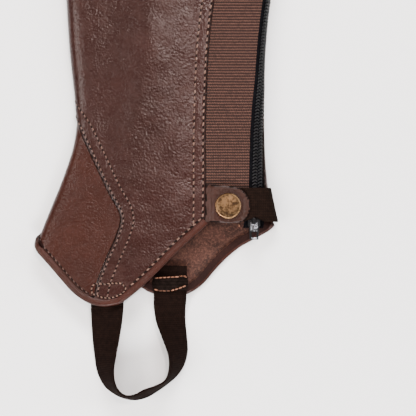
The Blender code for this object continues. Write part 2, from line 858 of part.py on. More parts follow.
def make_slider(group, cutters, metal):
    """Slider body with the small bridge that the pull hangs on."""
    pivot = pivot_place()
    face = pivot.z - PIVOT_RISE * MM
    tail = (SLIDER_TAIL - MIDDLE_Y) * MM
    head = (SLIDER_HEAD - MIDDLE_Y) * MM
    half = SLIDER_WIDTH / 2.0 * MM
    slider = box_object("zip_slider", (pivot.x - half, tail, face - SLIDER_THICK * MM),
                        (pivot.x + half, head, face), metal, group, 0.7 * MM)
    bridge_half = BRIDGE_WIDTH / 2.0 * MM
    reach = BRIDGE_LENGTH / 2.0 * MM
    crown = pivot.z + (PIVOT_HOLE + 0.55) * MM
    bridge = box_object("bridge_block", (pivot.x - bridge_half, pivot.y - reach, face - 0.5 * MM),
                        (pivot.x + bridge_half, pivot.y + reach, crown), metal, cutters, 0.4 * MM)
    bpy.ops.mesh.primitive_cylinder_add(
        vertices=20, radius=PIVOT_HOLE * MM, depth=4.0 * BRIDGE_WIDTH * MM,
        location=pivot, rotation=(0.0, math.pi / 2.0, 0.0))
    hole = bpy.context.object
    hole.name = "bridge_hole"
    for other in list(hole.users_collection):
        other.objects.unlink(hole)
    cutters.objects.link(hole)
    pierced = bridge.modifiers.new("Hole", "BOOLEAN")
    pierced.operation = "DIFFERENCE"
    pierced.object = hole
    joined = slider.modifiers.new("Bridge", "BOOLEAN")
    joined.operation = "UNION"
    joined.object = bridge
    as_cutter(bridge)
    as_cutter(hole)
    return slider


def make_pull(group, metal):
    """Flat pull: a bar under the bridge, an eye, the grip, and a slot near its end."""
    def rounded(corners, radius):
        line = []
        count = len(corners)
        for index, corner in enumerate(corners):
            here = Vector(corner)
            to_before = (Vector(corners[index - 1]) - here).normalized()
            to_after = (Vector(corners[(index + 1) % count]) - here).normalized()
            start = here + to_before * radius
            end = here + to_after * radius
            for share in (0.0, 0.5, 1.0):
                first = start.lerp(here, share)
                second = here.lerp(end, share)
                line.append(first.lerp(second, share))
        return line

    head = PULL_HEAD_WIDTH / 2.0
    foot = PULL_FOOT_WIDTH / 2.0
    bar = PULL_BAR / 2.0
    eye = BRIDGE_WIDTH / 2.0 + 0.5
    loops = [
        rounded([(-head, bar), (-foot, -PULL_LENGTH), (foot, -PULL_LENGTH), (head, bar)], 0.6),
        rounded([(-eye, -bar), (eye, -bar), (eye, -PULL_EYE_END), (-eye, -PULL_EYE_END)], 0.3),
        rounded([(-PULL_SLOT_HALF, -PULL_SLOT_START), (PULL_SLOT_HALF, -PULL_SLOT_START),
                 (PULL_SLOT_HALF, -PULL_SLOT_END), (-PULL_SLOT_HALF, -PULL_SLOT_END)], 0.4),
    ]
    curve = bpy.data.curves.new("pull_outline", "CURVE")
    curve.dimensions = "2D"
    curve.fill_mode = "BOTH"
    curve.extrude = PULL_THICK / 2.0 * MM
    for loop in loops:
        spline = curve.splines.new("POLY")
        spline.points.add(len(loop) - 1)
        for place, corner in zip(spline.points, loop):
            place.co = (corner.x * MM, corner.y * MM, 0.0, 1.0)
        spline.use_cyclic_u = True
    outline = bpy.data.objects.new("pull_outline", curve)
    bpy.context.scene.collection.objects.link(outline)
    bpy.context.view_layer.update()
    evaluated = outline.evaluated_get(bpy.context.evaluated_depsgraph_get())
    mesh = bpy.data.meshes.new_from_object(evaluated)
    bpy.data.objects.remove(outline, do_unlink=True)
    shape = bmesh.new()
    shape.from_mesh(mesh)
    bmesh.ops.remove_doubles(shape, verts=shape.verts, dist=0.00002)
    bmesh.ops.recalc_face_normals(shape, faces=shape.faces)
    shape.to_mesh(mesh)
    shape.free()
    mesh.name = "zip_pull"
    mesh.materials.clear()
    mesh.materials.append(metal)
    pull = bpy.data.objects.new("zip_pull", mesh)
    group.objects.link(pull)
    pull.location = pivot_place()
    return pull


def main():
    clear_scene()
    chap = collection("leather_half_chap")
    cutters = collection("cutters")
    leather = material("brown_leather", (0.108, 0.055, 0.046), 0.5)
    instep = material("instep_leather", (0.105, 0.045, 0.034), 0.55)
    edging = material("binding_leather", (0.145, 0.064, 0.044), 0.5)
    elastic = material("ribbed_elastic", (0.138, 0.072, 0.060), 0.85)
    webbing = material("dark_webbing", (0.022, 0.013, 0.010), 0.9)
    tape = material("zip_tape", (0.012, 0.012, 0.013), 0.9)
    coil = material("zip_coil", (0.018, 0.018, 0.022), 0.4)
    brass = material("antique_brass", (0.42, 0.29, 0.13), 0.35, 1.0)
    metal = material("blackened_metal", (0.08, 0.08, 0.09), 0.35, 1.0)
    make_panels(chap, leather, instep, elastic, tape)
    make_zip_coil(chap, coil)
    make_bindings(chap, edging)
    make_snap(chap, leather, brass)
    make_lock_strap(chap, webbing)
    make_underfoot_strap(chap, webbing)
    make_slider(chap, cutters, metal)
    make_pull(chap, metal)


main()
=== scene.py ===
# %% [markdown]
# A brown leather half chap, lying flat with its outer side up and its foot end
# towards the reader. The frame holds the plain solids. This script gives each of
# them the surface that the real piece has: grained leather with its creases and
# its two-row seams, suede inside, ribbed elastic, webbing, a coil zip and a brass
# snap. Tables hold millimetres, and meshes are made in metres.

# %% Load the frame
import math
import bpy
import numpy as np
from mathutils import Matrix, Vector
from mathutils.geometry import delaunay_2d_cdt

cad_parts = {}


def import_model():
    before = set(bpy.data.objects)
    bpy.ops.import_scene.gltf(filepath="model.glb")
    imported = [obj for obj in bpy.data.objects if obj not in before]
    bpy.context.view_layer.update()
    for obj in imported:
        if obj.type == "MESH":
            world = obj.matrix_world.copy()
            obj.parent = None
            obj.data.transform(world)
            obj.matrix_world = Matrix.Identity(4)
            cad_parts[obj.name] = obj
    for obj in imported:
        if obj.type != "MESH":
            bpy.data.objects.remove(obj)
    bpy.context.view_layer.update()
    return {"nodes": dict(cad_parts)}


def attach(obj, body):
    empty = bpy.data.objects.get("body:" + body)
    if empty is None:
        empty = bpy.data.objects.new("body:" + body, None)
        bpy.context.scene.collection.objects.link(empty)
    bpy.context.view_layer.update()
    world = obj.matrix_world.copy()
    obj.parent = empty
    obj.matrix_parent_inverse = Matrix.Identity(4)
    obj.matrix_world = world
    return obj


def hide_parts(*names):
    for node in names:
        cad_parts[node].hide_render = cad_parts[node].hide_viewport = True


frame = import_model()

MM = 0.001
MIDDLE_X = 13.75
MIDDLE_Y = 186.47

# %% [markdown]
# The camera comes first. The photograph looks straight down on the half chap, so
# the camera does too, with a long lens, and one pixel of the 416 is 0.6 mm on the
# upper leather. The leg runs out of the picture at the top, as it does there.

# %% Camera
PIXEL = 0.6
FRAME_PIXELS = 416
PICTURE_CENTRE = (28.8, 59.4)
UPPER_LEATHER = 12.5
LENS = 200.0
SENSOR = 36.0


def world(x, y, z=0.0):
    return Vector(((x - MIDDLE_X) * MM, (y - MIDDLE_Y) * MM, z * MM))


def add_camera():
    data = bpy.data.cameras.new("overhead")
    data.lens = LENS
    data.sensor_width = SENSOR
    data.sensor_fit = "HORIZONTAL"
    data.clip_end = 20.0
    camera = bpy.data.objects.new("overhead", data)
    distance = PIXEL * FRAME_PIXELS * LENS / SENSOR
    camera.location = world(*PICTURE_CENTRE, UPPER_LEATHER + distance)
    bpy.context.scene.collection.objects.link(camera)
    bpy.context.scene.camera = camera
    return distance


print("camera distance", round(add_camera(), 1), "mm")

# %% [markdown]
# A product photograph like this one is lit softly from all round, so there is
# hardly a shadow. Four large area lamps stand beyond the four sides, with a faint
# white sky between them. Two more are small and warm: a narrow strip at the left
# makes the long streak of light down the shin fold, and one lamp nearly overhead
# gives the upper leather the broad sheen in which its grain shows.

# %% Lamps
WHITE = (1.0, 1.0, 1.0)
SKY_STRENGTH = 0.10

# Name, place, aim and face size in metres, watts, colour
LAMPS = [
    ("softbox_head", (0.1, 1.35, 1.15), (0.0, 0.0, 0.0), (1.0, 0.4), 57.0, WHITE),
    ("softbox_right", (1.5, 0.1, 1.05), (0.0, -0.05, 0.0), (0.5, 1.0), 24.0, WHITE),
    ("softbox_foot", (0.1, -1.6, 1.1), (0.0, -0.1, 0.0), (1.0, 0.4), 58.0, WHITE),
    ("softbox_left", (-1.15, -0.75, 1.2), (0.0, -0.05, 0.0), (0.4, 0.8), 22.0, WHITE),
    ("fold_strip", (-1.0, -0.1, 1.2), (0.0, -0.05, 0.0), (0.25, 1.0), 18.0, (1.0, 0.86, 0.8)),
    ("sheen_lamp", (0.165, 0.15, 1.41), (0.0, 0.0, 0.0), (0.08, 0.10), 11.0, (1.0, 0.8, 0.74)),
]


def add_light(name, place, aim, size, watts, colour):
    data = bpy.data.lights.new(name, "AREA")
    data.shape = "RECTANGLE"
    data.size, data.size_y = size
    data.energy = watts
    data.color = colour
    lamp = bpy.data.objects.new(name, data)
    lamp.location = place
    lamp.rotation_euler = (Vector(aim) - Vector(place)).to_track_quat("-Z", "Y").to_euler()
    bpy.context.scene.collection.objects.link(lamp)


for lamp_row in LAMPS:
    add_light(*lamp_row)

sky = bpy.data.worlds.new("studio")
sky.use_nodes = True
background = sky.node_tree.nodes["Background"]
background.inputs["Color"].default_value = (1.0, 1.0, 1.0, 1.0)
background.inputs["Strength"].default_value = SKY_STRENGTH
bpy.context.scene.world = sky
print("lamps", len(LAMPS), "with", sum(row[4] for row in LAMPS), "watts in all")

# %% [markdown]
# Colours are written as sRGB hex values, the way a picker gives them, and one
# function turns them to the linear values that shaders take. A shader is a small
# network of nodes. One helper adds a node with its settings, values and links, and
# a few more give the nodes that every material here needs: clouds of noise, a
# stretched range, a mix of two colours and a bump.

# %% Colour and node helpers
PER_METRE = 1000.0


def linear(code):
    parts = [int(code[index:index + 2], 16) / 255.0 for index in (1, 3, 5)]
    return tuple(part / 12.92 if part <= 0.04045 else ((part + 0.055) / 1.055) ** 2.4
                 for part in parts) + (1.0,)


def fill(tree, node, sockets):
    """Give each named input of a node its link or its value."""
    for key, value in sockets.items():
        if isinstance(value, bpy.types.NodeSocket):
            tree.links.new(value, node.inputs[key])
        else:
            node.inputs[key].default_value = value


def add_node(tree, kind, settings=None, sockets=None):
    node = tree.nodes.new(kind)
    for key, value in (settings or {}).items():
        setattr(node, key, value)
    fill(tree, node, sockets or {})
    return node


def surface_place(tree):
    """The piece's own coordinates, so that a pattern stays put when the view moves."""
    return add_node(tree, "ShaderNodeTexCoord").outputs["Object"]


def clouds(tree, where, size, detail, roughness=0.5):
    """Noise from 0 to 1 whose clouds are about size millimetres wide."""
    return add_node(tree, "ShaderNodeTexNoise", None,
                    {"Vector": where, "Scale": PER_METRE / size, "Detail": detail,
                     "Roughness": roughness}).outputs[0]


def bumps(tree, height, strength, distance, beneath=None):
    """A normal from heights of so many metres, on top of a coarser normal if given."""
    sockets = {"Height": height, "Strength": strength, "Distance": distance}
    if beneath is not None:
        sockets["Normal"] = beneath
    return add_node(tree, "ShaderNodeBump", None, sockets).outputs[0]


def new_material(name, roughness, metallic=0.0):
    material = bpy.data.materials.new(name)
    material.use_nodes = True
    tree = material.node_tree
    shader = tree.nodes["Principled BSDF"]
    fill(tree, shader, {"Roughness": roughness, "Metallic": metallic})
    return material, tree, shader


def even_finish(name, colour, roughness, gloss):
    """A material of one colour all over."""
    material, tree, shader = new_material(name, roughness)
    fill(tree, shader, {"Base Color": linear(colour), "Specular IOR Level": gloss})
    return material


def mix_colours(tree, share, first, second):
    mixer = add_node(tree, "ShaderNodeMix", {"data_type": "RGBA"},
                     {"Factor": share, 6: first, 7: second})
    return mixer.outputs[2]


def spread(tree, value, low, high, to_low=0.0, to_high=1.0):
    ranged = add_node(tree, "ShaderNodeMapRange", None,
                      {"Value": value, "From Min": low, "From Max": high,
                       "To Min": to_low, "To Max": to_high})
    return ranged.outputs[0]


def maths(tree, operation, first, second=0.0):
    return add_node(tree, "ShaderNodeMath", {"operation": operation},
                    {0: first, 1: second}).outputs[0]


print("mid grey is", round(linear("#808080")[0], 3), "in linear light")

# %% [markdown]
# The floor is matt white paper. It is a plain plane, marked as stage so that it
# isn't counted as part of the half chap. It lies a fifth of a millimetre low, so
# that its surface and the leather's never share one plane.

# %% Floor
FLOOR_SIDE = 6.0
FLOOR_DROP = 0.2

bpy.ops.mesh.primitive_plane_add(size=FLOOR_SIDE, location=(0.0, 0.0, -FLOOR_DROP * MM))
floor = bpy.context.object
floor.name = "floor"
# Evenly white and without gloss, so that nothing of the lamps shows in it
PAPER, _, paper_shader = new_material("matt_white_paper", 0.9)
paper_shader.inputs["Base Color"].default_value = linear("#fafafa")
floor.data.materials.append(PAPER)
print("floor", tuple(round(side, 1) for side in floor.dimensions), "metres")

# %% [markdown]
# Leather is full-grain calf: a tanned hide with a smooth finished face. Its face
# shows pores and fine wrinkles about a millimetre apart, slow changes of tone over
# centimetres, and a satin sheen that the wrinkles break up. The same hide's flesh
# side is suede: no sheen, and a soft mottled nap. The grain is read in object
# coordinates, so it stays in the surface when the view moves.

# %% Leather and suede materials
WRINKLE_SIZE = 1.3
SWELL_SIZE = 26.0
SWELL_HEIGHT = 0.0013
GRAIN_HEIGHT = 0.00028


def leather(name, base, dark, light, grain=1.25, roughness=0.27, relief=0.7, gloss=0.20):
    """Grain is the width of a pebble in millimetres, relief its strength."""
    material, tree, shader = new_material(name, roughness)
    where = surface_place(tree)
    broad = clouds(tree, where, 34.0, 3.0)
    mottle = clouds(tree, where, 6.0, 4.0, 0.6)
    wrinkles = clouds(tree, where, WRINKLE_SIZE, 2.0)
    slow = clouds(tree, where, SWELL_SIZE, 1.0)
    cells = add_node(tree, "ShaderNodeTexVoronoi", {"feature": "SMOOTH_F1"},
                     {"Vector": where, "Scale": PER_METRE / grain,
                      "Smoothness": 0.6}).outputs["Distance"]
    tone = mix_colours(tree, spread(tree, broad, 0.35, 0.65), linear(dark), linear(base))
    tone = mix_colours(tree, spread(tree, mottle, 0.45, 0.75, 0.0, 0.3), tone, linear(light))
    hollows = spread(tree, cells, 0.35, 0.70, 0.0, 0.55)
    tone = mix_colours(tree, hollows, tone, linear(dark))
    rough = spread(tree, mottle, 0.3, 0.7, roughness - 0.03, roughness + 0.05)
    swells = bumps(tree, slow, 1.0, SWELL_HEIGHT)
    pebbles = maths(tree, "SUBTRACT", maths(tree, "MULTIPLY", wrinkles, 0.7),
                    maths(tree, "MULTIPLY", cells, 0.6))
    fill(tree, shader, {"Base Color": tone, "Roughness": rough, "IOR": 1.45,
                        "Specular IOR Level": gloss,
                        "Normal": bumps(tree, pebbles, relief, GRAIN_HEIGHT, swells)})
    return material


def suede(name, base, dark, light):
    material, tree, shader = new_material(name, 0.95)
    where = surface_place(tree)
    patches = clouds(tree, where, 9.0, 4.0)
    nap = clouds(tree, where, 1.1, 5.0, 0.8)
    tone = mix_colours(tree, spread(tree, patches, 0.38, 0.62), linear(dark), linear(base))
    tone = mix_colours(tree, spread(tree, nap, 0.47, 0.66, 0.0, 0.75), tone, linear(light))
    fill(tree, shader, {"Base Color": tone, "Normal": bumps(tree, nap, 0.6, 0.0005),
                        "Sheen Weight": 0.1, "Sheen Roughness": 0.6,
                        "Specular IOR Level": 0.08})
    return material


# The hide's finished face: a satin brown whose sheen the pebbled grain breaks up
LEG_LEATHER = leather("brown_calf_leather", "#281411", "#22110e", "#361e18")
# The instep is cut from a redder part of the hide, a little duller and rougher
INSTEP_LEATHER = leather("instep_calf_leather", "#2c1109", "#250e08", "#3a1b12",
                         roughness=0.31, relief=1.0)
# Pared thin and stretched over the edge, so lighter, with a finer grain
BINDING_LEATHER = leather("skived_binding_leather", "#31150e", "#27110b", "#422016",
                          grain=0.9, roughness=0.36)
# The tab is handled at every fastening: its gloss is rubbed away round the bright cap
TAB_LEATHER_FACE = leather("tab_calf_leather", "#2b1610", "#23120c", "#38211a",
                           grain=1.2, roughness=0.40, relief=1.1, gloss=0.17)
# The binding's inner flap takes a darker copy of the leather: painted shade for its dark smooth
# band
FLAP_PAINTED_SHADE = leather("turned_in_leather_painted_shade", "#22110e", "#1b0d0b", "#2c1914",
                       roughness=0.6, gloss=0.08)
# The flesh side drinks the light: pale fibre tips stand on a dark mottled ground
SUEDE = suede("suede_flesh_side", "#36201a", "#241410", "#5c3d31")
# Cut edges are painted almost black, partly edge paint and partly painted shade for
# the dark gap and shadow at each edge, which draws a thin dark line round each piece
EDGE_PAINT_AND_SHADE = even_finish("edge_paint_and_painted_shade", "#0e0705", 0.8, 0.08)
print("leather materials made")

# %% [markdown]
# Elastic and webbing are woven, so their patterns follow the cloth: each sheet
# carries a UV map in which one unit is 100 mm, and the shader turns it back into
# millimetres. The elastic has cords across it every 1.7 mm, whose covering yarns
# show as small beads, shifted a little from cord to cord. The ribs are real
# geometry, because they catch the light, and the beads are only colour and bump.
# The colour is also darker in each groove between the cords, which is painted shade.

# %% Elastic
RIB_PITCH = 1.7
BEAD_PITCH = 1.45
BEAD_SHIFT = 0.62
UV_UNIT = 100.0


def woven_place(tree):
    """The sheet's own coordinates, across and along, in millimetres."""
    place = add_node(tree, "ShaderNodeUVMap", {"uv_map": "cloth"}).outputs[0]
    parts = add_node(tree, "ShaderNodeSeparateXYZ", None, {0: place})
    across = maths(tree, "MULTIPLY", parts.outputs[0], UV_UNIT)
    along = maths(tree, "MULTIPLY", parts.outputs[1], UV_UNIT)
    return across, along


def wave(tree, value, pitch, phase=0.0):
    """From 0 to 1 and back once in each pitch."""
    turned = maths(tree, "ADD", maths(tree, "MULTIPLY", value, 2.0 * math.pi / pitch), phase)
    return maths(tree, "MULTIPLY", maths(tree, "ADD", maths(tree, "SINE", turned), 1.0), 0.5)


def ribbed_elastic(name, dark, light):
    material, tree, shader = new_material(name, 0.8)
    across, along = woven_place(tree)
    # Light on each cord's crest and dark in the groove between cords: painted shade
    rows = wave(tree, along, RIB_PITCH, math.pi / 2.0)
    number = maths(tree, "FLOOR", maths(tree, "DIVIDE", along, RIB_PITCH))
    shifted = maths(tree, "ADD", across, maths(tree, "MULTIPLY", number, BEAD_SHIFT))
    beads = wave(tree, shifted, BEAD_PITCH)
    noise = clouds(tree, surface_place(tree), 1.1, 2.0)
    lit = maths(tree, "MULTIPLY", rows, spread(tree, beads, 0.0, 1.0, 0.3, 1.0))
    lit = maths(tree, "MULTIPLY", lit, spread(tree, noise, 0.3, 0.7, 0.45, 1.5))
    tone = mix_colours(tree, lit, linear(dark), linear(light))
    fill(tree, shader, {"Base Color": tone, "Normal": bumps(tree, lit, 0.5, 0.0004),
                        "Sheen Weight": 0.03, "Specular IOR Level": 0.15})
    return material


# Dull brown cords with dark gaps, the gaps' darkness being painted shade, so the
# strip reads as lines from afar
ELASTIC = ribbed_elastic("ribbed_elastic", "#120908", "#54372d")
print("elastic", RIB_PITCH, "mm a cord,", BEAD_PITCH, "mm a bead")

# %% [markdown]
# Webbing is a close dark twill: fine rows across the band and diagonals over them.
# Both are waves in the cloth's own coordinates, and one function serves the straps
# and the zip's tapes, which differ in slant and pitch. Thread is a plain bright or
# dull tone with a little change along it, because a stitch is too small for more.

# %% Webbing and thread
TWILL_PITCH = 1.1


def webbing(name, dark, light, slant=0.6, pitch=1.3):
    material, tree, shader = new_material(name, 0.85)
    across, along = woven_place(tree)
    rows = wave(tree, along, pitch)
    twill = wave(tree, maths(tree, "ADD", across, maths(tree, "MULTIPLY", along, slant)),
                 TWILL_PITCH)
    noise = clouds(tree, surface_place(tree), 2.2, 4.0)
    lit = maths(tree, "MULTIPLY", maths(tree, "MAXIMUM", rows, twill),
                spread(tree, noise, 0.3, 0.7, 0.3, 1.0))
    crossings = maths(tree, "MULTIPLY", rows, twill)
    fill(tree, shader, {"Base Color": mix_colours(tree, lit, linear(dark), linear(light)),
                        "Normal": bumps(tree, crossings, 0.45, 0.0003),
                        "IOR": 1.2, "Specular IOR Level": 0.05})
    return material


def thread(name, colour, shade):
    material, tree, shader = new_material(name, 0.6)
    noise = spread(tree, clouds(tree, surface_place(tree), 0.9, 2.0), 0.35, 0.65)
    fill(tree, shader, {"Base Color": mix_colours(tree, noise, linear(shade), linear(colour)),
                        "Sheen Weight": 0.1})
    return material


# Brownish black, matt and close: it swallows the light beside the glossy leather
LOCK_WEBBING = webbing("lock_strap_webbing", "#0b0706", "#1c130f", 1.1, 1.6)
# The same cloth in a finer weave, nearly plain from above
FOOT_WEBBING = webbing("underfoot_webbing", "#0a0605", "#19100d")
# The strap's doubled end is stretched, so its weave is open and coarse
PATCH_WEBBING = webbing("coarse_end_webbing", "#040302", "#1b1412", 0.9, 1.9)
# A cold black that sets the zip off from the brown straps
ZIP_CLOTH = webbing("polyester_zip_tape", "#040405", "#121215", 0.0, 0.8)
# Light tan dots along the long seam and the hem
TAN_THREAD = thread("tan_polyester_thread", "#70503f", "#3e2920")
# Nearly the leather's own brown, so the row by the instep's binding stays quiet
DULL_THREAD = thread("waxed_brown_thread", "#4c3127", "#2e1c16")
# Between the two, for the instep seam
SEAM_THREAD = thread("dull_tan_thread", "#5e4033", "#35221b")
# A bright orange brown that stands out on the black strap end
COPPER_THREAD = thread("copper_polyester_thread", "#8a5638", "#4e2d1c")
# The shadow in each needle hole, which parts one stitch from the next
HOLE_DARK = even_finish("needle_hole_shadow", "#0c0604", 0.9, 0.1)
print("webbing and thread materials made")

# %% [markdown]
# Nylon, die-cast metal and brass. The coil is black moulded nylon with a soft
# gloss. The slider and pull are zinc castings painted black, worn or polished
# bright on the raised faces. The snap's cap is antique brass: plated, darkened,
# then rubbed so that the high parts shine and the hollows stay brown. The bright
# ring at its rim is partly that rubbing and partly a painted highlight.

# %% Hard materials
DUST_SHADE = 1.0 - 3.0 * 0.08


def moulded(name, colour, roughness, gloss):
    """A smooth moulded or painted surface with a little dust in its shade."""
    material, tree, shader = new_material(name, roughness)
    noise = clouds(tree, surface_place(tree), 0.8, 3.0)
    shade = tuple(part * DUST_SHADE for part in linear(colour)[:3]) + (1.0,)
    tone = mix_colours(tree, spread(tree, noise, 0.3, 0.7), shade, linear(colour))
    rough = spread(tree, noise, 0.3, 0.7, roughness - 0.06, roughness + 0.1)
    fill(tree, shader, {"Base Color": tone, "Roughness": rough, "Specular IOR Level": gloss})
    return material


def antique_brass(name, bright, dark, centre, radius):
    """Rubbed brass: bright on top and at the rim, brown where it is low. The bright
    rim is partly rubbed wear and partly a painted highlight.
    """
    material, tree, shader = new_material(name, 0.32, 1.0)
    where = surface_place(tree)
    moved = add_node(tree, "ShaderNodeMapping", None,
                     {"Vector": where, "Location": tuple(-value for value in centre)})
    noise = clouds(tree, where, 2.4, 4.0, 0.6)
    parts = add_node(tree, "ShaderNodeSeparateXYZ", None, {0: moved.outputs[0]})
    flat = add_node(tree, "ShaderNodeCombineXYZ", None, {0: parts.outputs[0], 1: parts.outputs[1]})
    out = add_node(tree, "ShaderNodeVectorMath", {"operation": "LENGTH"}, {0: flat.outputs[0]})
    share = maths(tree, "DIVIDE", out.outputs["Value"], radius)
    # The bright ring at the rim: rubbed brass, and partly a painted highlight
    rim = spread(tree, share, 0.84, 0.93)
    field = spread(tree, noise, 0.42, 0.60, 0.08, 0.50)
    worn = maths(tree, "MAXIMUM", rim, field)
    fill(tree, shader, {"Base Color": mix_colours(tree, worn, linear(dark), linear(bright)),
                        "Roughness": spread(tree, worn, 0.0, 1.0, 0.55, 0.27),
                        "Normal": bumps(tree, noise, 0.25, 0.0002)})
    return material


def worn_zinc(name, bright, paint):
    """Polished zinc whose black paint stays in the hollows."""
    material, tree, shader = new_material(name, 0.35, 1.0)
    noise = clouds(tree, surface_place(tree), 1.0, 2.0)
    worn = spread(tree, noise, 0.49, 0.58)
    fill(tree, shader, {"Base Color": mix_colours(tree, worn, linear(paint), linear(bright)),
                        "Metallic": worn,
                        "Roughness": spread(tree, worn, 0.0, 1.0, 0.5, 0.3),
                        "Normal": bumps(tree, worn, 0.5, 0.0002)})
    return material


# Each turn of the coil carries one small soft highlight
NYLON = moulded("black_nylon_coil", "#0a0a0c", 0.40, 0.3)
# Matt black paint, in which only the shape's edges show
BLACK_METAL = moulded("black_painted_zinc", "#08080a", 0.45, 0.12)
# Silver patches on black: the paint is worn off where fingers hold the pull
BRIGHT_METAL = worn_zinc("worn_polished_zinc", "#a3a6ae", "#0b0b0d")
print("hard materials made")

# %% [markdown]
# The pattern. Every cloth piece is cut in wall coordinates: the distance along the
# wall from the shin fold, and the height above the lowest point of the near hem.
# The tables are the frame's own sizes, so the new pieces lie where its solids lie.
# A section at each height has two half-round folds, a flat far layer on the floor
# and a slightly crowned near layer.

# %% Pattern tables
TOP_EDGE = 430.0
CROWN = 1.5
LEATHER = 1.6
BINDING_WIDTH = 3.1
ZIP_BAND = 10.3
PANEL_TOP = 426.6

# Outline of the tube: height, shin fold, back fold, total thickness
TUBE = [
    (-60.0, -126.4, 96.0, 13.0), (0.0, -95.4, 86.0, 13.0), (34.8, -76.8, 75.0, 13.2),
    (42.6, -73.4, 72.0, 13.3), (51.0, -70.0, 69.4, 13.4), (60.0, -66.4, 67.2, 13.5),
    (71.4, -61.6, 65.0, 13.5), (76.2, -59.8, 64.4, 13.5), (87.0, -55.9, 63.5, 13.5),
    (98.4, -52.6, 63.0, 13.5), (111.0, -51.0, 62.7, 13.5), (124.2, -51.5, 62.9, 13.6),
    (154.2, -54.7, 63.6, 14.3), (184.2, -56.6, 66.6, 15.0), (220.0, -58.8, 73.5, 16.2),
    (260.0, -61.0, 86.0, 17.4), (310.0, -62.9, 98.5, 18.3), (360.0, -63.5, 102.5, 18.5),
    (400.0, -63.0, 101.0, 18.0), (440.0, -62.0, 97.0, 17.0),
]

# Outer edge of the near hem's binding: x, height
NEAR_HEM = [
    (-75.9, 37.2), (-75.2, 34.4), (-68.0, 26.2), (-59.9, 16.8), (-51.9, 8.1), (-42.1, 1.8),
    (-32.4, 0.0), (-24.4, 1.5), (-15.0, 8.4), (-6.9, 15.6), (2.7, 25.2), (12.0, 34.8),
    (21.6, 43.4), (28.8, 49.8),
]

# The same on the far layer, from the shin fold to the back corner
FAR_HEM = [
    (-68.0, 41.6), (-57.0, 43.8), (-48.0, 43.0), (-39.3, 39.4), (-30.5, 32.2), (-22.5, 23.0),
    (-11.6, 11.4), (-3.7, 7.4), (5.0, 6.0), (16.2, 7.2), (25.2, 12.8), (31.5, 20.0),
    (39.3, 28.5), (48.4, 36.0), (55.6, 39.9), (62.2, 43.5), (69.4, 48.3),
]

# Seam of the leg leather over the instep piece, near layer: x, height
FRONT_SEAM = [
    (-49.2, 107.0), (-43.5, 95.1), (-37.2, 81.6), (-30.7, 68.0), (-25.4, 58.8), (-23.6, 52.2),
    (-26.0, 44.2), (-30.7, 33.0), (-34.8, 23.4), (-37.9, 14.7), (-40.0, 4.0),
]
SHIN_CENTRE = -17.7
SEAM_PEAK = 124.0
SEAM_AT_FOLD = 112.5
SEAM_SHOULDER = 0.8
FAR_SEAM_LIFT = 6.0

# Edge of the leather against the elastic: height, x
ELASTIC_EDGE = [
    (40.0, 27.2), (74.0, 27.4), (108.0, 27.5), (154.0, 29.3), (184.2, 32.7), (220.0, 38.5),
    (260.0, 49.0), (310.0, 60.5), (360.0, 64.0), (400.0, 62.0), (440.0, 58.5),
]

# Middle of the zip: height, distance along the wall from the back fold
ZIP_LINE = [
    (44.0, -19.4), (51.0, -16.3), (60.0, -12.6), (71.0, -9.9), (90.0, -7.7), (105.0, -6.8),
    (120.0, -5.8), (184.0, -3.2), (440.0, -3.2),
]
BACK_CORNER = [(62.0, -6.4), (58.0, -4.8), (54.8, -2.4)]
print("tables: tube", len(TUBE), "rows, hem", len(NEAR_HEM) + len(FAR_HEM), "points, seam",
      len(FRONT_SEAM), "points")

# %% [markdown]
# A cut edge has no corners where the table has points, so lines through table
# points are Catmull-Rom curves, which pass through every point and bend smoothly
# between them. The tables of the tube, the elastic and the zip are smoothed once
# and read by height afterwards.

# %% Smooth lines


def smooth_points(points, step):
    """Catmull-Rom curve through the points, with a point about every step."""
    rows = np.array(points, dtype=float)
    ends = np.vstack([rows[:1], rows, rows[-1:]])
    result = []
    for index in range(len(rows) - 1):
        before, start, end, after = ends[index:index + 4]
        pieces = max(1, round(float(np.linalg.norm(end - start)) / step))
        for part in np.arange(pieces) / pieces:
            result.append(0.5 * (2.0 * start + (end - before) * part
                                 + (2.0 * before - 5.0 * start + 4.0 * end - after) * part ** 2
                                 + (3.0 * start - before - 3.0 * end + after) * part ** 3))
    result.append(rows[-1])
    return np.array(result)


def ease(value):
    value = np.clip(value, 0.0, 1.0)
    return value * value * (3.0 - 2.0 * value)


def run_along(points):
    """Distance along a line of points, at each of them."""
    steps = np.linalg.norm(np.diff(points, axis=0), axis=1)
    return np.concatenate([[0.0], np.cumsum(steps)])


SMOOTH_TUBE = smooth_points(TUBE, 6.0)
SMOOTH_ELASTIC_EDGE = smooth_points(ELASTIC_EDGE, 6.0)
SMOOTH_ZIP_LINE = smooth_points(ZIP_LINE, 6.0)
print("tube rows", len(SMOOTH_TUBE))

# %% [markdown]
# The wall itself is one function: it takes arrays of distances, heights and depths
# below the leather's face, and gives points in the world with the direction that
# looks out of the wall. Every cloth piece is wrapped by it, so pieces that touch in
# the pattern touch on the leg too. Its inverse turns an x into a distance.

# %% The wall


def section(height):
    """Left and right folds, fold radius, a quarter turn, the flat run and half the way."""
    left, right, thick = (np.interp(height, SMOOTH_TUBE[:, 0], SMOOTH_TUBE[:, column])
                          for column in (1, 2, 3))
    radius = (thick - CROWN) / 2.0
    quarter = radius * math.pi / 2.0
    flat = right - left - 2.0 * radius
    return left, right, radius, quarter, flat, 2.0 * quarter + flat


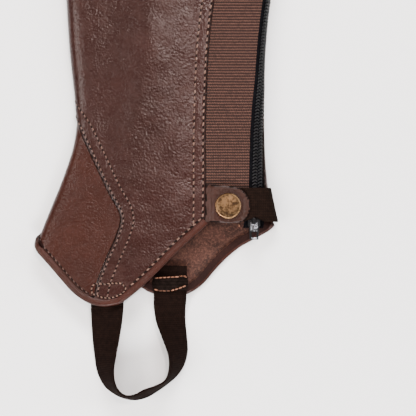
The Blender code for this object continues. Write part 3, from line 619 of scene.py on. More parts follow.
def wall(along, height, depth=0.0):
    """Points of the wall in metres, and the outward directions."""
    along, height, depth = np.broadcast_arrays(
        np.asarray(along, float), np.asarray(height, float), np.asarray(depth, float))
    left, right, radius, quarter, flat, half = section(height)
    along = (along + half) % (2.0 * half) - half
    near = along >= 0.0
    layer = np.abs(along)
    start_turn = np.clip(layer / radius, 0.0, math.pi / 2.0)
    end_turn = np.clip((half - layer) / radius, 0.0, math.pi / 2.0)
    at_start = layer < quarter
    at_end = layer > quarter + flat
    turn = np.where(at_start, start_turn, np.where(at_end, end_turn, math.pi / 2.0))
    side = np.where(at_start, -1.0, 1.0)
    out_x = np.cos(turn) * side
    out_x = np.where(at_start | at_end, out_x, 0.0)
    out_z = np.sin(turn)
    x = np.where(at_start, left + radius * (1.0 - np.cos(turn)),
                 np.where(at_end, right - radius * (1.0 - np.cos(turn)),
                          left + radius + layer - quarter))
    share = np.clip((layer - quarter) / flat, 0.0, 1.0)
    crown = np.where(near, CROWN * 0.5 * (1.0 - np.cos(2.0 * math.pi * share)), 0.0)
    out_z = np.where(near, out_z, -out_z)
    z = radius + radius * out_z + crown
    points = np.stack([x - depth * out_x - MIDDLE_X, height - MIDDLE_Y, z - depth * out_z], -1)
    outward = np.stack([out_x, np.zeros_like(out_x), out_z], -1)
    return points * MM, outward


def wall_x(along, height):
    return wall(along, height)[0][..., 0] / MM + MIDDLE_X


def near_distance(x, height):
    left, right, radius, quarter, flat, half = section(height)
    x = np.asarray(x, float)
    from_left = np.clip(x - left, 0.0, None)
    from_right = np.clip(right - x, 0.0, None)
    turn_left = radius * np.arccos(np.clip(1.0 - from_left / radius, 0.0, 1.0))
    turn_right = half - radius * np.arccos(np.clip(1.0 - from_right / radius, 0.0, 1.0))
    middle = quarter + from_left - radius
    return np.where(from_left < radius, turn_left,
                    np.where(from_right < radius, turn_right, middle))


def elastic_edge(height):
    return near_distance(np.interp(height, SMOOTH_ELASTIC_EDGE[:, 0],
                                   SMOOTH_ELASTIC_EDGE[:, 1]), height)


def zip_middle(height):
    return section(height)[5] + np.interp(height, SMOOTH_ZIP_LINE[:, 0], SMOOTH_ZIP_LINE[:, 1])


print("half way round", round(float(section(60.0)[5]), 1), "mm at the ankle")

# %% [markdown]
# A hem, a seam allowance or a row of stitches follows an edge at a fixed distance,
# so one function moves a line sideways over the wall. It measures in true
# millimetres, because one unit of the pattern is a little longer where the leg
# tapers. The panel's own edge is the hem less the binding's width.

# %% Hem line
PROBE = 0.5


def inset(line, distance):
    """A line moved over the wall to its left-hand side, in true millimetres."""
    line = np.asarray(line, float)
    run = np.gradient(line, axis=0)
    here = wall(line[:, 0], line[:, 1])[0]
    across = (wall(line[:, 0] + PROBE, line[:, 1])[0] - here) / (PROBE * MM)
    upward = (wall(line[:, 0], line[:, 1] + PROBE)[0] - here) / (PROBE * MM)
    squared = (across * across).sum(1)
    mixed = (across * upward).sum(1)
    risen = (upward * upward).sum(1)
    left = np.stack([-(mixed * run[:, 0] + risen * run[:, 1]),
                     squared * run[:, 0] + mixed * run[:, 1]], 1)
    size = np.sqrt(squared * left[:, 0] ** 2 + 2.0 * mixed * left[:, 0] * left[:, 1]
                   + risen * left[:, 1] ** 2)
    return line + distance * left / size[:, None]


def hem_line(step):
    near = [(float(near_distance(x, height)), height) for x, height in reversed(NEAR_HEM)]
    far = [(-float(near_distance(x, height)), height) for x, height in FAR_HEM]
    return smooth_points(near + far, step)


def keep_falling(line, least=0.4):
    kept = [line[0]]
    for current in line[1:]:
        if current[0] < kept[-1][0] - least:
            kept.append(current)
    return np.array(kept)


HEM = hem_line(5.0)
PANEL_HEM = keep_falling(inset(HEM, -(BINDING_WIDTH + 0.1)))


def hem_height(along):
    return float(np.interp(along, PANEL_HEM[::-1, 0], PANEL_HEM[::-1, 1]))


print("hem points", len(HEM), "panel hem points", len(PANEL_HEM))

# %% [markdown]
# The instep seam runs up one side of the foot, over the shin in a rounded peak and
# down the other side. The near half comes from the table; the far half mirrors it
# about the shin's centre, a little higher, because nobody sees it in the photograph.

# %% Instep seam


def front_seam():
    near = [(float(near_distance(x, height)), height) for x, height in reversed(FRONT_SEAM)]
    far = [(2.0 * SHIN_CENTRE - along,
            height + FAR_SEAM_LIFT * (1.0 - height / SEAM_AT_FOLD))
           for along, height in reversed(near)]
    shoulder = SEAM_AT_FOLD + SEAM_SHOULDER * (SEAM_PEAK - SEAM_AT_FOLD)
    peak = [(0.5, SEAM_AT_FOLD), (SHIN_CENTRE * 0.5, shoulder), (SHIN_CENTRE, SEAM_PEAK),
            (SHIN_CENTRE * 1.5, shoulder), (2.0 * SHIN_CENTRE - 0.5, SEAM_AT_FOLD)]
    line = smooth_points(near + peak + far, 4.0)
    return np.array([corner for corner in line if corner[1] > hem_height(corner[0]) + 1.5])


SEAM = front_seam()
print("seam points", len(SEAM))

# %% [markdown]
# Cutting. A maker marks a panel flat on the hide before it is bent round the leg,
# and so does this script. Two tools are needed for that: how far a flat point lies
# from an outline or a seam, and whether it lies inside. Both take many points at
# once, because a panel has some ten thousand.

# %% Distances in the flat
BLOCK = 2000
TINY = 1e-9
FAR_AWAY = 1e9


def nearest(start, run, points):
    """Distance of each flat point to the nearest of many short straight pieces."""
    size = np.maximum((run ** 2).sum(1), TINY)
    best = np.full(len(points), FAR_AWAY)
    for first in range(0, len(points), BLOCK):
        block = points[first:first + BLOCK]
        offset = block[:, None, :] - start[None]
        share = np.clip((offset * run[None]).sum(2) / size[None], 0.0, 1.0)
        gap = offset - share[..., None] * run[None]
        best[first:first + BLOCK] = np.sqrt((gap ** 2).sum(2)).min(1)
    return best


def edge_distance(outline, points):
    """Distance to a closed outline, in flat millimetres."""
    return nearest(outline, np.roll(outline, -1, axis=0) - outline, points)


def line_distance(line, points):
    """Distance to an open line, in flat millimetres."""
    return nearest(line[:-1], line[1:] - line[:-1], points)


def points_inside(outline, points):
    flags = np.zeros(len(points), bool)
    previous = outline[-1]
    for current in outline:
        straddles = (current[1] > points[:, 1]) != (previous[1] > points[:, 1])
        rise = previous[1] - current[1]
        if abs(rise) > 1e-12:
            cross = current[0] + (points[:, 1] - current[1]) / rise * (previous[0] - current[0])
            flags ^= straddles & (points[:, 0] < cross)
        previous = current
    return flags


SQUARE = np.array([[0.0, 0.0], [10.0, 0.0], [10.0, 10.0], [0.0, 10.0]])
TRIAL = np.array([[2.0, 5.0]])
print("trial point inside the square:", bool(points_inside(SQUARE, TRIAL)[0]), "and",
      float(edge_distance(SQUARE, TRIAL)[0]), "mm from its edge")

# %% [markdown]
# Wrapping. The flat outline is filled with triangles by a constrained Delaunay
# call, on rows that crowd together in the folds, and each point is then carried to
# the wall. A panel is a shell of two skins and a rim. The outer skin gets the
# relief: creases, stitched valleys and the rounded cut edge. The inner one follows
# it one leather's thickness below, and the outer faces at the edge are painted
# dark: edge paint and painted shade.

# %% Panel maker
PAINTED_EDGE = 0.95
SHARP_ANGLE = 50.0
ROWS_FROM_EDGE = 0.6
ROWS_FROM_LINE = 0.45
LINE_FROM_EDGE = 0.35


def pattern_rows(outline, row_step, near_step, far_step, turns):
    """Inner points on level rows: wide on the flats, close in the folds."""
    low, high = outline[:, 1].min(), outline[:, 1].max()
    places = []
    for index, height in enumerate(np.arange(low + row_step / 2.0, high, row_step)):
        left, right, radius, quarter, flat, half = (float(v) for v in section(height))
        near = np.arange(quarter, quarter + flat, near_step) + 0.5 * near_step * (index % 2)
        places += [(along, height) for along in near]
        if index % max(1, round(far_step / row_step)) == 0:
            places += [(-along, height) for along in np.arange(quarter, quarter + flat, far_step)]
        for piece in range(1, turns):
            turn = quarter * piece / turns
            for along in (turn, -turn, half - turn, turn - half):
                places.append((along, height))
        places += [(0.0, height), (half, height), (-half, height)]
    return np.array(places)


def make_object(name, points, faces, materials, uv=None, indices=None):
    mesh = bpy.data.meshes.new(name)
    mesh.from_pydata([tuple(point) for point in points], [], faces)
    for material in materials:
        mesh.materials.append(material)
    if indices is not None:
        mesh.polygons.foreach_set("material_index", indices)
    if uv is not None:
        layer = mesh.uv_layers.new(name="cloth")
        corners = np.empty(len(mesh.loops), dtype=np.int32)
        mesh.loops.foreach_get("vertex_index", corners)
        layer.data.foreach_set("uv", (np.asarray(uv)[corners] / UV_UNIT).ravel())
    mesh.shade_smooth()
    mesh.set_sharp_from_angle(angle=math.radians(SHARP_ANGLE))
    mesh.update()
    thing = bpy.data.objects.new(name, mesh)
    bpy.context.scene.collection.objects.link(thing)
    return thing


def shell(name, flat, triangles, depth, thickness, materials, relief=None, follow=0.6,
          at_edge=None):
    """Two skins and a rim: outer material, inner material, edge material. The outer
    faces at the edge, where at_edge is true, take the edge material too."""
    flat = np.asarray(flat)
    extra = np.zeros(len(flat)) if relief is None else relief
    outer = wall(flat[:, 0], flat[:, 1], depth + extra)[0]
    inner = wall(flat[:, 0], flat[:, 1], depth + follow * extra + thickness)[0]
    count = len(flat)
    last = len(materials) - 1
    faces = [list(face) for face in triangles]
    indices = [0] * len(faces)
    if at_edge is not None:
        indices = [last if all(at_edge[corner] for corner in face) else 0 for face in faces]
    faces += [[count + corner for corner in reversed(face)] for face in triangles]
    indices += [min(1, last)] * len(triangles)
    edges = {(face[index - 1], face[index]) for face in triangles for index in range(len(face))}
    for start, end in sorted(edges):
        if (end, start) not in edges:
            faces.append([end, start, count + start, count + end])
            indices.append(min(2, last))
    return make_object(name, np.vstack([outer, inner]), faces, materials,
                       np.vstack([flat, flat]), indices)


def cut_panel(name, outline, depth, thickness, materials, relief, row_step=2.6,
              near_step=2.8, far_step=7.8, turns=6, lines=(), follow=0.6):
    """Fill a flat outline, give it relief and wrap it on the wall."""
    outline = np.asarray(outline, float)
    places = pattern_rows(outline, row_step, near_step, far_step, turns)
    places = places[points_inside(outline, places)]
    places = places[edge_distance(outline, places) > ROWS_FROM_EDGE * row_step]
    kept = [outline]
    for line in lines:
        line = np.asarray(line)
        line = line[points_inside(outline, line)]
        line = line[edge_distance(outline, line) > LINE_FROM_EDGE]
        kept.append(line)
        if len(line) > 1:
            gap = np.sqrt(((places[:, None, :] - line[None]) ** 2).sum(2)).min(1)
            places = places[gap > ROWS_FROM_LINE * row_step]
    kept.append(places)
    points = [Vector(place) for place in np.vstack(kept)]
    flat, _, faces, _, _, _ = delaunay_2d_cdt(
        points, [], [list(range(len(outline)))], 1, 0.0001)
    flat = np.array([tuple(place) for place in flat])
    triangles = []
    for face in faces:
        corners = flat[list(face)]
        turned = np.roll(corners, -1, axis=0)
        area = float((corners[:, 0] * turned[:, 1] - turned[:, 0] * corners[:, 1]).sum())
        triangles.append(list(face) if area > 0.0 else list(reversed(face)))
    gap = edge_distance(outline, flat)
    # Outer faces by the edge take the dark edge material: edge paint and painted shade
    at_edge = gap < PAINTED_EDGE if len(materials) > 2 else None
    thing = shell(name, flat, triangles, depth, thickness, materials, relief(flat, gap),
                  follow, at_edge)
    size = abs(float((outline[:, 0] * np.roll(outline[:, 1], -1)
                      - np.roll(outline[:, 0], -1) * outline[:, 1]).sum())) / 2.0
    print(name, len(thing.data.polygons), "faces, cut", round(size * 1e-6, 5), "square metres")
    return thing, size * 1e-6


# %% [markdown]
# Creases are placed one by one, each with its place, length, width, slant, depth and
# bow. A crease is a soft trough with slightly raised lips. The puckers beside the
# long seam come from its thread tension and the bowed ones above the hem from the
# foot's bend. The widest rows, with a negative depth, are swells rather than
# creases. A few of each kind are laid on the far layer, which nobody saw.

# %% Creases
# x, height, length, width, slant in degrees, depth, bow
NEAR_CREASES = [
    (16.0, 93.5, 8.0, 0.9, -8.0, 0.16, 0.8), (15.4, 89.0, 10.0, 1.0, 2.0, 0.22, 1.2),
    (16.8, 85.2, 7.0, 0.8, 9.0, 0.18, 0.6), (15.2, 81.0, 11.0, 1.1, -4.0, 0.24, 1.5),
    (16.6, 77.2, 8.0, 0.9, 6.0, 0.20, -0.8), (15.0, 73.0, 9.0, 1.0, 12.0, 0.18, 1.0),
    (9.0, 48.5, 30.0, 1.8, 9.0, 0.22, 3.0), (7.0, 44.6, 26.0, 1.5, 14.0, 0.26, 2.6),
    (10.5, 41.4, 20.0, 1.3, 20.0, 0.22, 2.0), (1.0, 38.6, 18.0, 1.5, 16.0, 0.18, 2.0),
    (14.0, 52.6, 22.0, 1.6, 4.0, 0.18, 2.2), (-3.0, 33.4, 14.0, 1.2, 30.0, 0.16, 1.2),
    (-43.0, 60.5, 22.0, 1.6, 12.0, 0.16, 2.5), (-45.0, 56.2, 26.0, 1.5, 8.0, 0.2, 2.2),
    (-47.0, 51.5, 22.0, 1.4, 14.0, 0.2, 2.8), (-42.0, 46.8, 18.0, 1.3, 6.0, 0.16, 1.6),
    (-50.0, 44.0, 15.0, 1.2, 20.0, 0.16, 1.2), (-6.0, 62.0, 34.0, 3.0, 10.0, 0.2, 4.0),
    (-9.0, 110.0, 46.0, 5.0, 62.0, 0.16, 5.0), (12.0, 128.0, 52.0, 5.5, 70.0, 0.14, -6.0),
    (-30.0, 150.0, 60.0, 7.0, 80.0, 0.14, 6.0), (18.0, 250.0, 70.0, 8.0, 78.0, 0.4, -8.0),
    (-25.0, 320.0, 80.0, 8.0, 84.0, 0.4, 6.0), (30.0, 370.0, 60.0, 7.0, 75.0, 0.4, 5.0),
    (-6.0, 158.0, 120.0, 16.0, 87.0, -0.9, 2.0), (-18.0, 96.0, 70.0, 12.0, 80.0, -0.45, -4.0),
    (-6.0, 262.0, 120.0, 15.0, 93.0, -0.6, -5.0), (8.0, 372.0, 110.0, 14.0, 88.0, -0.6, 4.0),
]
FAR_CREASES = [
    (-20.0, 80.0, 26.0, 2.2, 8.0, 0.3, 2.5), (6.0, 62.0, 30.0, 2.0, -12.0, 0.3, 3.0),
    (24.0, 52.0, 22.0, 1.8, -8.0, 0.25, 2.0), (-10.0, 48.0, 20.0, 1.6, 10.0, 0.25, 2.0),
    (-15.0, 140.0, 60.0, 7.0, 74.0, 0.4, 5.0), (20.0, 220.0, 70.0, 8.0, 80.0, 0.4, -6.0),
    (-20.0, 300.0, 70.0, 8.0, 84.0, 0.4, 6.0), (35.0, 360.0, 60.0, 7.0, 76.0, 0.4, 5.0),
]

LIP = 0.9
WAVER = 0.4
WAVER_WIDTH = 1.6
WAVER_TURNS = 0.35


def creases(rows, x, height):
    """Depth of all the creases of a table at the given places."""
    total = np.zeros_like(x)
    for place_x, place_y, length, width, slant, depth, bow in rows:
        cosine, sine = math.cos(math.radians(slant)), math.sin(math.radians(slant))
        along = (x - place_x) * cosine + (height - place_y) * sine
        across = (height - place_y) * cosine - (x - place_x) * sine
        reach = np.clip(1.0 - (2.0 * along / length) ** 2, 0.0, 1.0)
        waver = WAVER * min(width, WAVER_WIDTH) * np.sin(along * WAVER_TURNS)
        across = across - bow * (2.0 * along / length) ** 2 + waver
        hollow = (1.0 - LIP * (across / width) ** 2) * np.exp(-(across / width) ** 2)
        total += depth * hollow * reach
    return total


def crease_depth(near, x, height):
    """The near layer's own table, and the far layer's without its raised lips."""
    return np.where(near, creases(NEAR_CREASES, x, height),
                    np.maximum(creases(FAR_CREASES, x, height), 0.0))


def rolled_edge(gap, drop=0.55, reach=1.3):
    """Depth added where a cut or turned edge rounds away."""
    return drop * np.clip(1.0 - gap / reach, 0.0, 1.0) ** 2


print("creases", len(NEAR_CREASES), "near and", len(FAR_CREASES), "far")

# %% [markdown]
# The long seam beside the elastic has two rows of stitches, 1.6 mm and 7.2 mm from
# the leather's turned edge. The instep seam has the same two rows, 1.8 mm and
# 7.9 mm in from the edge of the leg leather. One more row holds the hem's binding.
# Each row is a line of the pattern with its points spaced evenly.

# %% Seam lines
SEAM_ROWS = (1.8, 7.9)
EDGE_ROWS = (1.6, 7.2)
EDGE_ROW_FOOT = 49.0
HEM_ROW = BINDING_WIDTH + 2.1
TOP_ROW = BINDING_WIDTH + 1.5


def evenly(line, step):
    """The same line with points at equal true distances on the wall."""
    line = np.asarray(line, float)
    run = run_along(wall(line[:, 0], line[:, 1])[0] / MM)
    places = np.linspace(0.0, run[-1], max(2, round(run[-1] / step) + 1))
    return np.stack([np.interp(places, run, line[:, 0]), np.interp(places, run, line[:, 1])], 1)


def seam_row(distance):
    line = inset(SEAM, -distance)
    flags = [hem_height(along) + 1.0 < height for along, height in line]
    return evenly(line[np.array(flags)], 1.0)


def edge_row(distance):
    heights = np.arange(EDGE_ROW_FOOT, PANEL_TOP - 1.0, 4.0)
    line = np.stack([elastic_edge(heights) - distance, heights], 1)
    return line[np.array([height > hem_height(along) + 1.0 for along, height in line])]


SEAM_LINES = [seam_row(distance) for distance in SEAM_ROWS]
EDGE_LINES = [edge_row(distance) for distance in EDGE_ROWS]
HEM_STITCHES = keep_falling(inset(HEM, -HEM_ROW), 0.2)
print("seam rows", [len(row) for row in SEAM_LINES + EDGE_LINES], "points")

# %% [markdown]
# Thread pulls the leather down in a valley along each row, and between two rows
# the padded seam stands up in a soft ridge. The leather beside the long seam dips a
# little, and the shin fold's shoulder is softened, which is where the streak of
# light runs. All of that is added up as depth below the smooth wall.

# %% Relief of the leather
EDGE_VALLEY = 0.24
SEAM_VALLEY = 0.14
VALLEY_WIDTH = 1.0
EDGE_SWELL = 0.30
SEAM_SWELL = 0.15
EDGE_SWELL_WIDTH = 2.0
SEAM_SWELL_WIDTH = 2.2
SWELL_REACH = 9.0
SEAM_DIP = 0.5
SEAM_DIP_WIDTH = 6.0
SHOULDER_DROP = 0.65
SHOULDER_PLACE = 7.0
SHOULDER_WIDTH = 4.5


def fold_shoulder(along):
    """Depth that softens the shin fold's shoulder; along starts at the fold."""
    return SHOULDER_DROP * np.exp(-((along - SHOULDER_PLACE) / SHOULDER_WIDTH) ** 2)


def leg_relief(flat, gap):
    x = wall_x(flat[:, 0], flat[:, 1])
    height = flat[:, 1]
    half = section(height)[5]
    along = (flat[:, 0] + half) % (2.0 * half) - half
    near = along >= 0.0
    depth = crease_depth(near, x, height)
    for rows, valley in ((EDGE_LINES, EDGE_VALLEY), (SEAM_LINES, SEAM_VALLEY)):
        for line in rows:
            away = line_distance(line, flat)
            depth += np.where(near, valley, 0.0) * np.exp(-(away / VALLEY_WIDTH) ** 2)
    depth += np.where(near, fold_shoulder(along), 0.0)
    beside_seam = line_distance(EDGE_LINES[1], flat)
    depth += np.where(near, SEAM_DIP, 0.0) * np.exp(-(beside_seam / SEAM_DIP_WIDTH) ** 2)
    for rows, width, swell in ((EDGE_LINES, EDGE_SWELL_WIDTH, EDGE_SWELL),
                               (SEAM_LINES, SEAM_SWELL_WIDTH, SEAM_SWELL)):
        first, second = (line_distance(row, flat) for row in rows)
        ridge = np.exp(-((first - second) / (2.0 * width)) ** 2)
        ridge *= first + second < SWELL_REACH
        depth -= np.where(near, swell, 0.0) * ridge
    depth += np.where(near, rolled_edge(gap), 0.0)
    return depth


def instep_relief(flat, gap):
    x = wall_x(flat[:, 0], flat[:, 1])
    near = flat[:, 0] >= 0.0
    depth = crease_depth(near, x, flat[:, 1])
    return depth + np.where(near, fold_shoulder(flat[:, 0]), 0.0)


# %% [markdown]
# Each cut panel prints its face count and the area of its flat outline.


# %% [markdown]
# The leg leather is the largest cut: from the elastic round the shin fold and the
# back to the zip. The instep piece lies 0.7 mm deeper, so the leg leather's edge
# stands proud of it along the seam. Three lines of points close to the leg
# leather's edge let that edge round over and take its dark band, edge paint and
# painted shade together, cleanly.

# %% Leg leather and instep
INSTEP_DEPTH = 0.7
INSTEP_LEATHER_THICK = 1.5
INSTEP_UNDER = 0.25
PAINTED_LINES = (0.4, 0.85, 1.3)
BACK_EDGE_FOOT = 66.0


def hem_between(high, low):
    flags = (PANEL_HEM[:, 0] < high - 1.0) & (PANEL_HEM[:, 0] > low + 1.0)
    return PANEL_HEM[flags]


def end_on_hem(line):
    first, last = line[0], line[-1]
    start = (first[0] - 0.6, hem_height(first[0] - 0.6))
    finish = (last[0] - 0.2, hem_height(last[0] - 0.2))
    return np.vstack([[start], line, [finish]])


def leg_outline():
    foot = hem_height(float(elastic_edge(52.0)))
    heights = np.arange(foot, PANEL_TOP, 4.0)
    heights = np.append(heights[:-1], PANEL_TOP)[::-1]
    down = np.stack([elastic_edge(heights) - 0.1, heights], 1)
    seam = end_on_hem(SEAM)
    near_hem = hem_between(down[-1, 0], seam[0, 0])
    corner = []
    for height, beyond in reversed(BACK_CORNER):
        half = float(section(height)[5])
        corner.append((half + beyond - 2.0 * half, height))
    far_hem = hem_between(seam[-1, 0], corner[0][0])
    heights = np.append(np.arange(BACK_EDGE_FOOT, PANEL_TOP - 2.0, 4.0), PANEL_TOP)
    back = np.stack([zip_middle(heights) + ZIP_BAND / 2.0 - 2.0 * section(heights)[5],
                     heights], 1)
    across = np.arange(back[-1, 0] + 2.5, down[0, 0] - 2.0, 3.0)
    top = np.stack([across, np.full(len(across), PANEL_TOP)], 1)
    return np.vstack([down, near_hem, seam, far_hem, corner, back, top])


def instep_outline():
    line = end_on_hem(inset(SEAM, INSTEP_UNDER))
    hem = hem_between(line[0, 0], line[-1, 0])[::-1]
    return np.vstack([line, hem])


LEG_CUT = leg_outline()
INSTEP_CUT = instep_outline()
painted_lines = [evenly(inset(LEG_CUT, -distance), 2.5) for distance in PAINTED_LINES]
leg, leg_area = cut_panel(
    "leg_leather", LEG_CUT, 0.0, LEATHER, [LEG_LEATHER, SUEDE, EDGE_PAINT_AND_SHADE], leg_relief,
    lines=painted_lines + SEAM_LINES + EDGE_LINES)
instep, instep_area = cut_panel(
    "instep_leather", INSTEP_CUT, INSTEP_DEPTH, INSTEP_LEATHER_THICK,
    [INSTEP_LEATHER, SUEDE, EDGE_PAINT_AND_SHADE], instep_relief)
for piece, node in ((leg, "main_panel"), (instep, "front_panel")):
    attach(piece, "gaiter")
    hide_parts(node)

# %% [markdown]
# The elastic is a strip whose outer face rises and falls with every cord: one
# rounded rib each 1.7 mm. Both edges are straight runs of the pattern, so a level
# grid between them is enough, and no triangles need to be fitted. The zip's tapes
# are made the same way, plain and a little deeper.

# %% Strips along the leg
RIB_DROP = 0.32
SELVAGE_DROP = 0.12
SELVAGE_PLACE = 3.3
SELVAGE_WIDTH = 0.5
ELASTIC_FOOT = 53.0
ELASTIC_DEPTH = 0.7
ELASTIC_CLOTH = 1.3
TAPE_FOOT = 47.4
TAPE_DEPTH = 1.5
TAPE_CLOTH = 0.6
TAPE_UNDER = 0.9
TAPE_GAP = 0.15
RIM_DROP = 0.2
RIM_REACH = 0.8


def strip(name, left_edge, right_edge, heights, columns, depth, thickness, materials,
          relief=None):
    """A level grid between two edges given as functions of height."""
    shares = np.linspace(0.0, 1.0, columns)
    left, right = left_edge(heights), right_edge(heights)
    along = left[:, None] + (right - left)[:, None] * shares[None]
    flat = np.stack([along.ravel(), np.repeat(heights, columns)], 1)
    triangles = []
    for row in range(len(heights) - 1):
        for column in range(columns - 1):
            base = row * columns + column
            triangles.append([base, base + 1, base + columns + 1, base + columns])
    gap = np.minimum(shares, 1.0 - shares)[None] * (right - left)[:, None]
    shaped = None if relief is None else relief(flat, gap.ravel())
    thing = shell(name, flat, triangles, depth, thickness, materials, shaped)
    print(name, len(thing.data.polygons), "faces")
    return thing


def rib_relief(flat, gap):
    """The cords' ribs, a groove beside each selvage and a rounded edge."""
    ridge = 0.5 * (1.0 + np.cos(2.0 * math.pi * flat[:, 1] / RIB_PITCH))
    groove = SELVAGE_DROP * np.exp(-((gap - SELVAGE_PLACE) / SELVAGE_WIDTH) ** 2)
    rim = RIM_DROP * np.clip(1.0 - gap / RIM_REACH, 0.0, 1.0)
    return RIB_DROP * (1.0 - ridge) + groove + rim


elastic_heights = np.arange(ELASTIC_FOOT, PANEL_TOP, RIB_PITCH / 4.0)
elastic = strip("ribbed_elastic_strip", lambda height: elastic_edge(height) + 0.1,
                lambda height: zip_middle(height) - ZIP_BAND / 2.0 - 0.1,
                elastic_heights, 18, ELASTIC_DEPTH, ELASTIC_CLOTH, [ELASTIC], rib_relief)
tape_heights = np.append(np.arange(TAPE_FOOT, PANEL_TOP - 1.0, 3.0), PANEL_TOP)
tape_near = strip("near_zip_tape",
                  lambda height: zip_middle(height) - ZIP_BAND / 2.0 - TAPE_UNDER,
                  lambda height: zip_middle(height) - TAPE_GAP,
                  tape_heights, 7, TAPE_DEPTH, TAPE_CLOTH, [ZIP_CLOTH])
tape_far = strip("far_zip_tape",
                 lambda height: zip_middle(height) + TAPE_GAP,
                 lambda height: zip_middle(height) + ZIP_BAND / 2.0 + TAPE_UNDER,
                 tape_heights, 7, TAPE_DEPTH, TAPE_CLOTH, [ZIP_CLOTH])
for piece, node, slot in ((elastic, "elastic_panel", "ribbed_elastic"),
                          (tape_near, "zip_tape_near", "zip_tape"),
                          (tape_far, "zip_tape_far", "zip_tape")):
    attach(piece, "gaiter")
    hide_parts(node)

# %% [markdown]
# Bindings are strips of thin leather folded over the cut edge. Such a strip has the
# same section all along, so the section is drawn once and swept along the hem. It
# is round outside, laps over the leather, and runs on inside in a flat flap, which
# is the dark smooth band within the far layer. The flap's darkness is painted shade.

# %% Bindings
BEAD_RISE = 1.5
BEAD_DEPTH = 0.8
BEAD_DEPTH_BELOW = 1.55
BINDING_LAP = 0.9
HEM_FLAP = 2.2
TOP_FLAP = 2.0
TOP_BINDING_MIDDLE = 428.4
TOP_OVERLAP = 0.6


def swept(name, line, depths, profile, materials, edge_materials):
    """A closed profile of (across, out) pairs carried along a line on the wall, with
    the material number of each of its edges."""
    line = np.asarray(line, float)
    points, outward = wall(line[:, 0], line[:, 1], depths)
    run = np.gradient(points, axis=0)
    run /= np.linalg.norm(run, axis=1)[:, None]
    outward = outward - run * (outward * run).sum(1)[:, None]
    outward /= np.linalg.norm(outward, axis=1)[:, None]
    across = np.cross(run, outward)
    profile = np.asarray(profile, float)
    count = len(profile)
    rings = (points[:, None, :] + across[:, None, :] * (profile[None, :, :1] * MM)
             + outward[:, None, :] * (profile[None, :, 1:] * MM))
    faces = []
    indices = []
    for station in range(len(line) - 1):
        for index in range(count):
            following = (index + 1) % count
            base = station * count
            faces.append([base + index, base + following,
                          base + count + following, base + count + index])
            indices.append(edge_materials[index])
    faces.append(list(range(count - 1, -1, -1)))
    last = (len(line) - 1) * count
    faces.append([last + index for index in range(count)])
    indices += [0, 0]
    thing = make_object(name, rings.reshape(-1, 3), faces, materials, None, indices)
    print(name, len(thing.data.polygons), "faces")
    return thing


def binding_profile(flap, lap):
    """Round outside, with a lap over the leather and a thin flap running in below it."""
    half = BINDING_WIDTH / 2.0
    rim = [(half * math.cos(turn), BEAD_RISE * math.sin(turn))
           for turn in np.linspace(math.pi / 2.0, -math.pi / 2.0, 9)]
    inner = [(-half - flap, -1.35), (-half - flap, -0.95), (-half, -0.8),
             (-half - 0.05, 0.86), (-half - lap, 0.86), (-half - lap - 0.1, 1.0),
             (-half - lap + 0.5, 1.3), (-0.8, BEAD_RISE)]
    return rim + inner


def mirrored(profile):
    return [(-side, up) for side, up in reversed(profile)]


def bead_depth(line):
    """On the near layer the bead lies high; on the floor it sinks into the wall."""
    along, height = line[:, 0], line[:, 1]
    quarter, half = section(height)[3], section(height)[5]
    to_floor = ease(-along / quarter)
    beyond = half + along
    to_floor = np.where((along < 0.0) & (beyond < quarter), ease(beyond / quarter), to_floor)
    return BEAD_DEPTH + to_floor * (BEAD_DEPTH_BELOW - BEAD_DEPTH)


hem_path = evenly(inset(HEM, -BINDING_WIDTH / 2.0), 2.0)
hem_profile = mirrored(binding_profile(HEM_FLAP, BINDING_LAP))
# These profile edges take the flap's darker leather, which is painted shade
flap_edges = [1 if up < 0.0 and abs(side) > BINDING_WIDTH / 2.0 - 0.1 else 0
              for side, up in hem_profile]
hem_binding = swept("rolled_hem_binding", hem_path, bead_depth(hem_path), hem_profile,
                    [BINDING_LEATHER, FLAP_PAINTED_SHADE], flap_edges)
top_zip = float(zip_middle(TOP_BINDING_MIDDLE))
top_zip_behind = float(zip_middle(TOP_BINDING_MIDDLE) - 2.0 * section(TOP_BINDING_MIDDLE)[5])
top_path = evenly([(top_zip - TOP_OVERLAP, TOP_BINDING_MIDDLE), (0.0, TOP_BINDING_MIDDLE),
                   (top_zip_behind + TOP_OVERLAP, TOP_BINDING_MIDDLE)], 2.0)
top_profile = binding_profile(TOP_FLAP, BINDING_LAP)
top_binding = swept("rolled_top_binding", top_path, bead_depth(top_path), top_profile,
                    [BINDING_LEATHER], [0] * len(top_profile))
for piece, node in ((hem_binding, "hem_binding"), (top_binding, "top_binding")):
    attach(piece, "gaiter")
    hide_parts(node)


def binding_cut(line):
    """The binding's path on the wall in millimetres, worked out and not used further."""
    path = wall(line[:, 0], line[:, 1])[0] / MM


binding_cut(hem_path)
binding_cut(top_path)

# %% [markdown]
# The lock strap keeps the slider from creeping up, so it lies on top of the zip and
# its depth is a function of place: flat on the elastic, then up over the zip, with
# a small arch over the slider. Its foot edge is lifted there too, which leaves the
# pull room to swing. It is cut as the panels are, with finer rows.

# %% Lock strap
STRAP_CLOTH = 1.3
LOCK_STRAP_END = 36.5
LOCK_STRAP_TOP = 71.6
LOCK_STRAP_FOOT = 51.0
SUNK = 0.5
CLIMB_START = 48.4
CLIMB_RUN = 4.6
CLIMB = 1.15
ARCH_HALF_WIDTH = 7.5
ARCH_LENGTH = 10.0
ARCH_RISE = 1.9
FOOT_LIFT = 2.8
FOOT_LIFT_WIDTH = 4.2
STRAP_EDGE_DROP = 0.25
STRAP_EDGE_REACH = 0.9


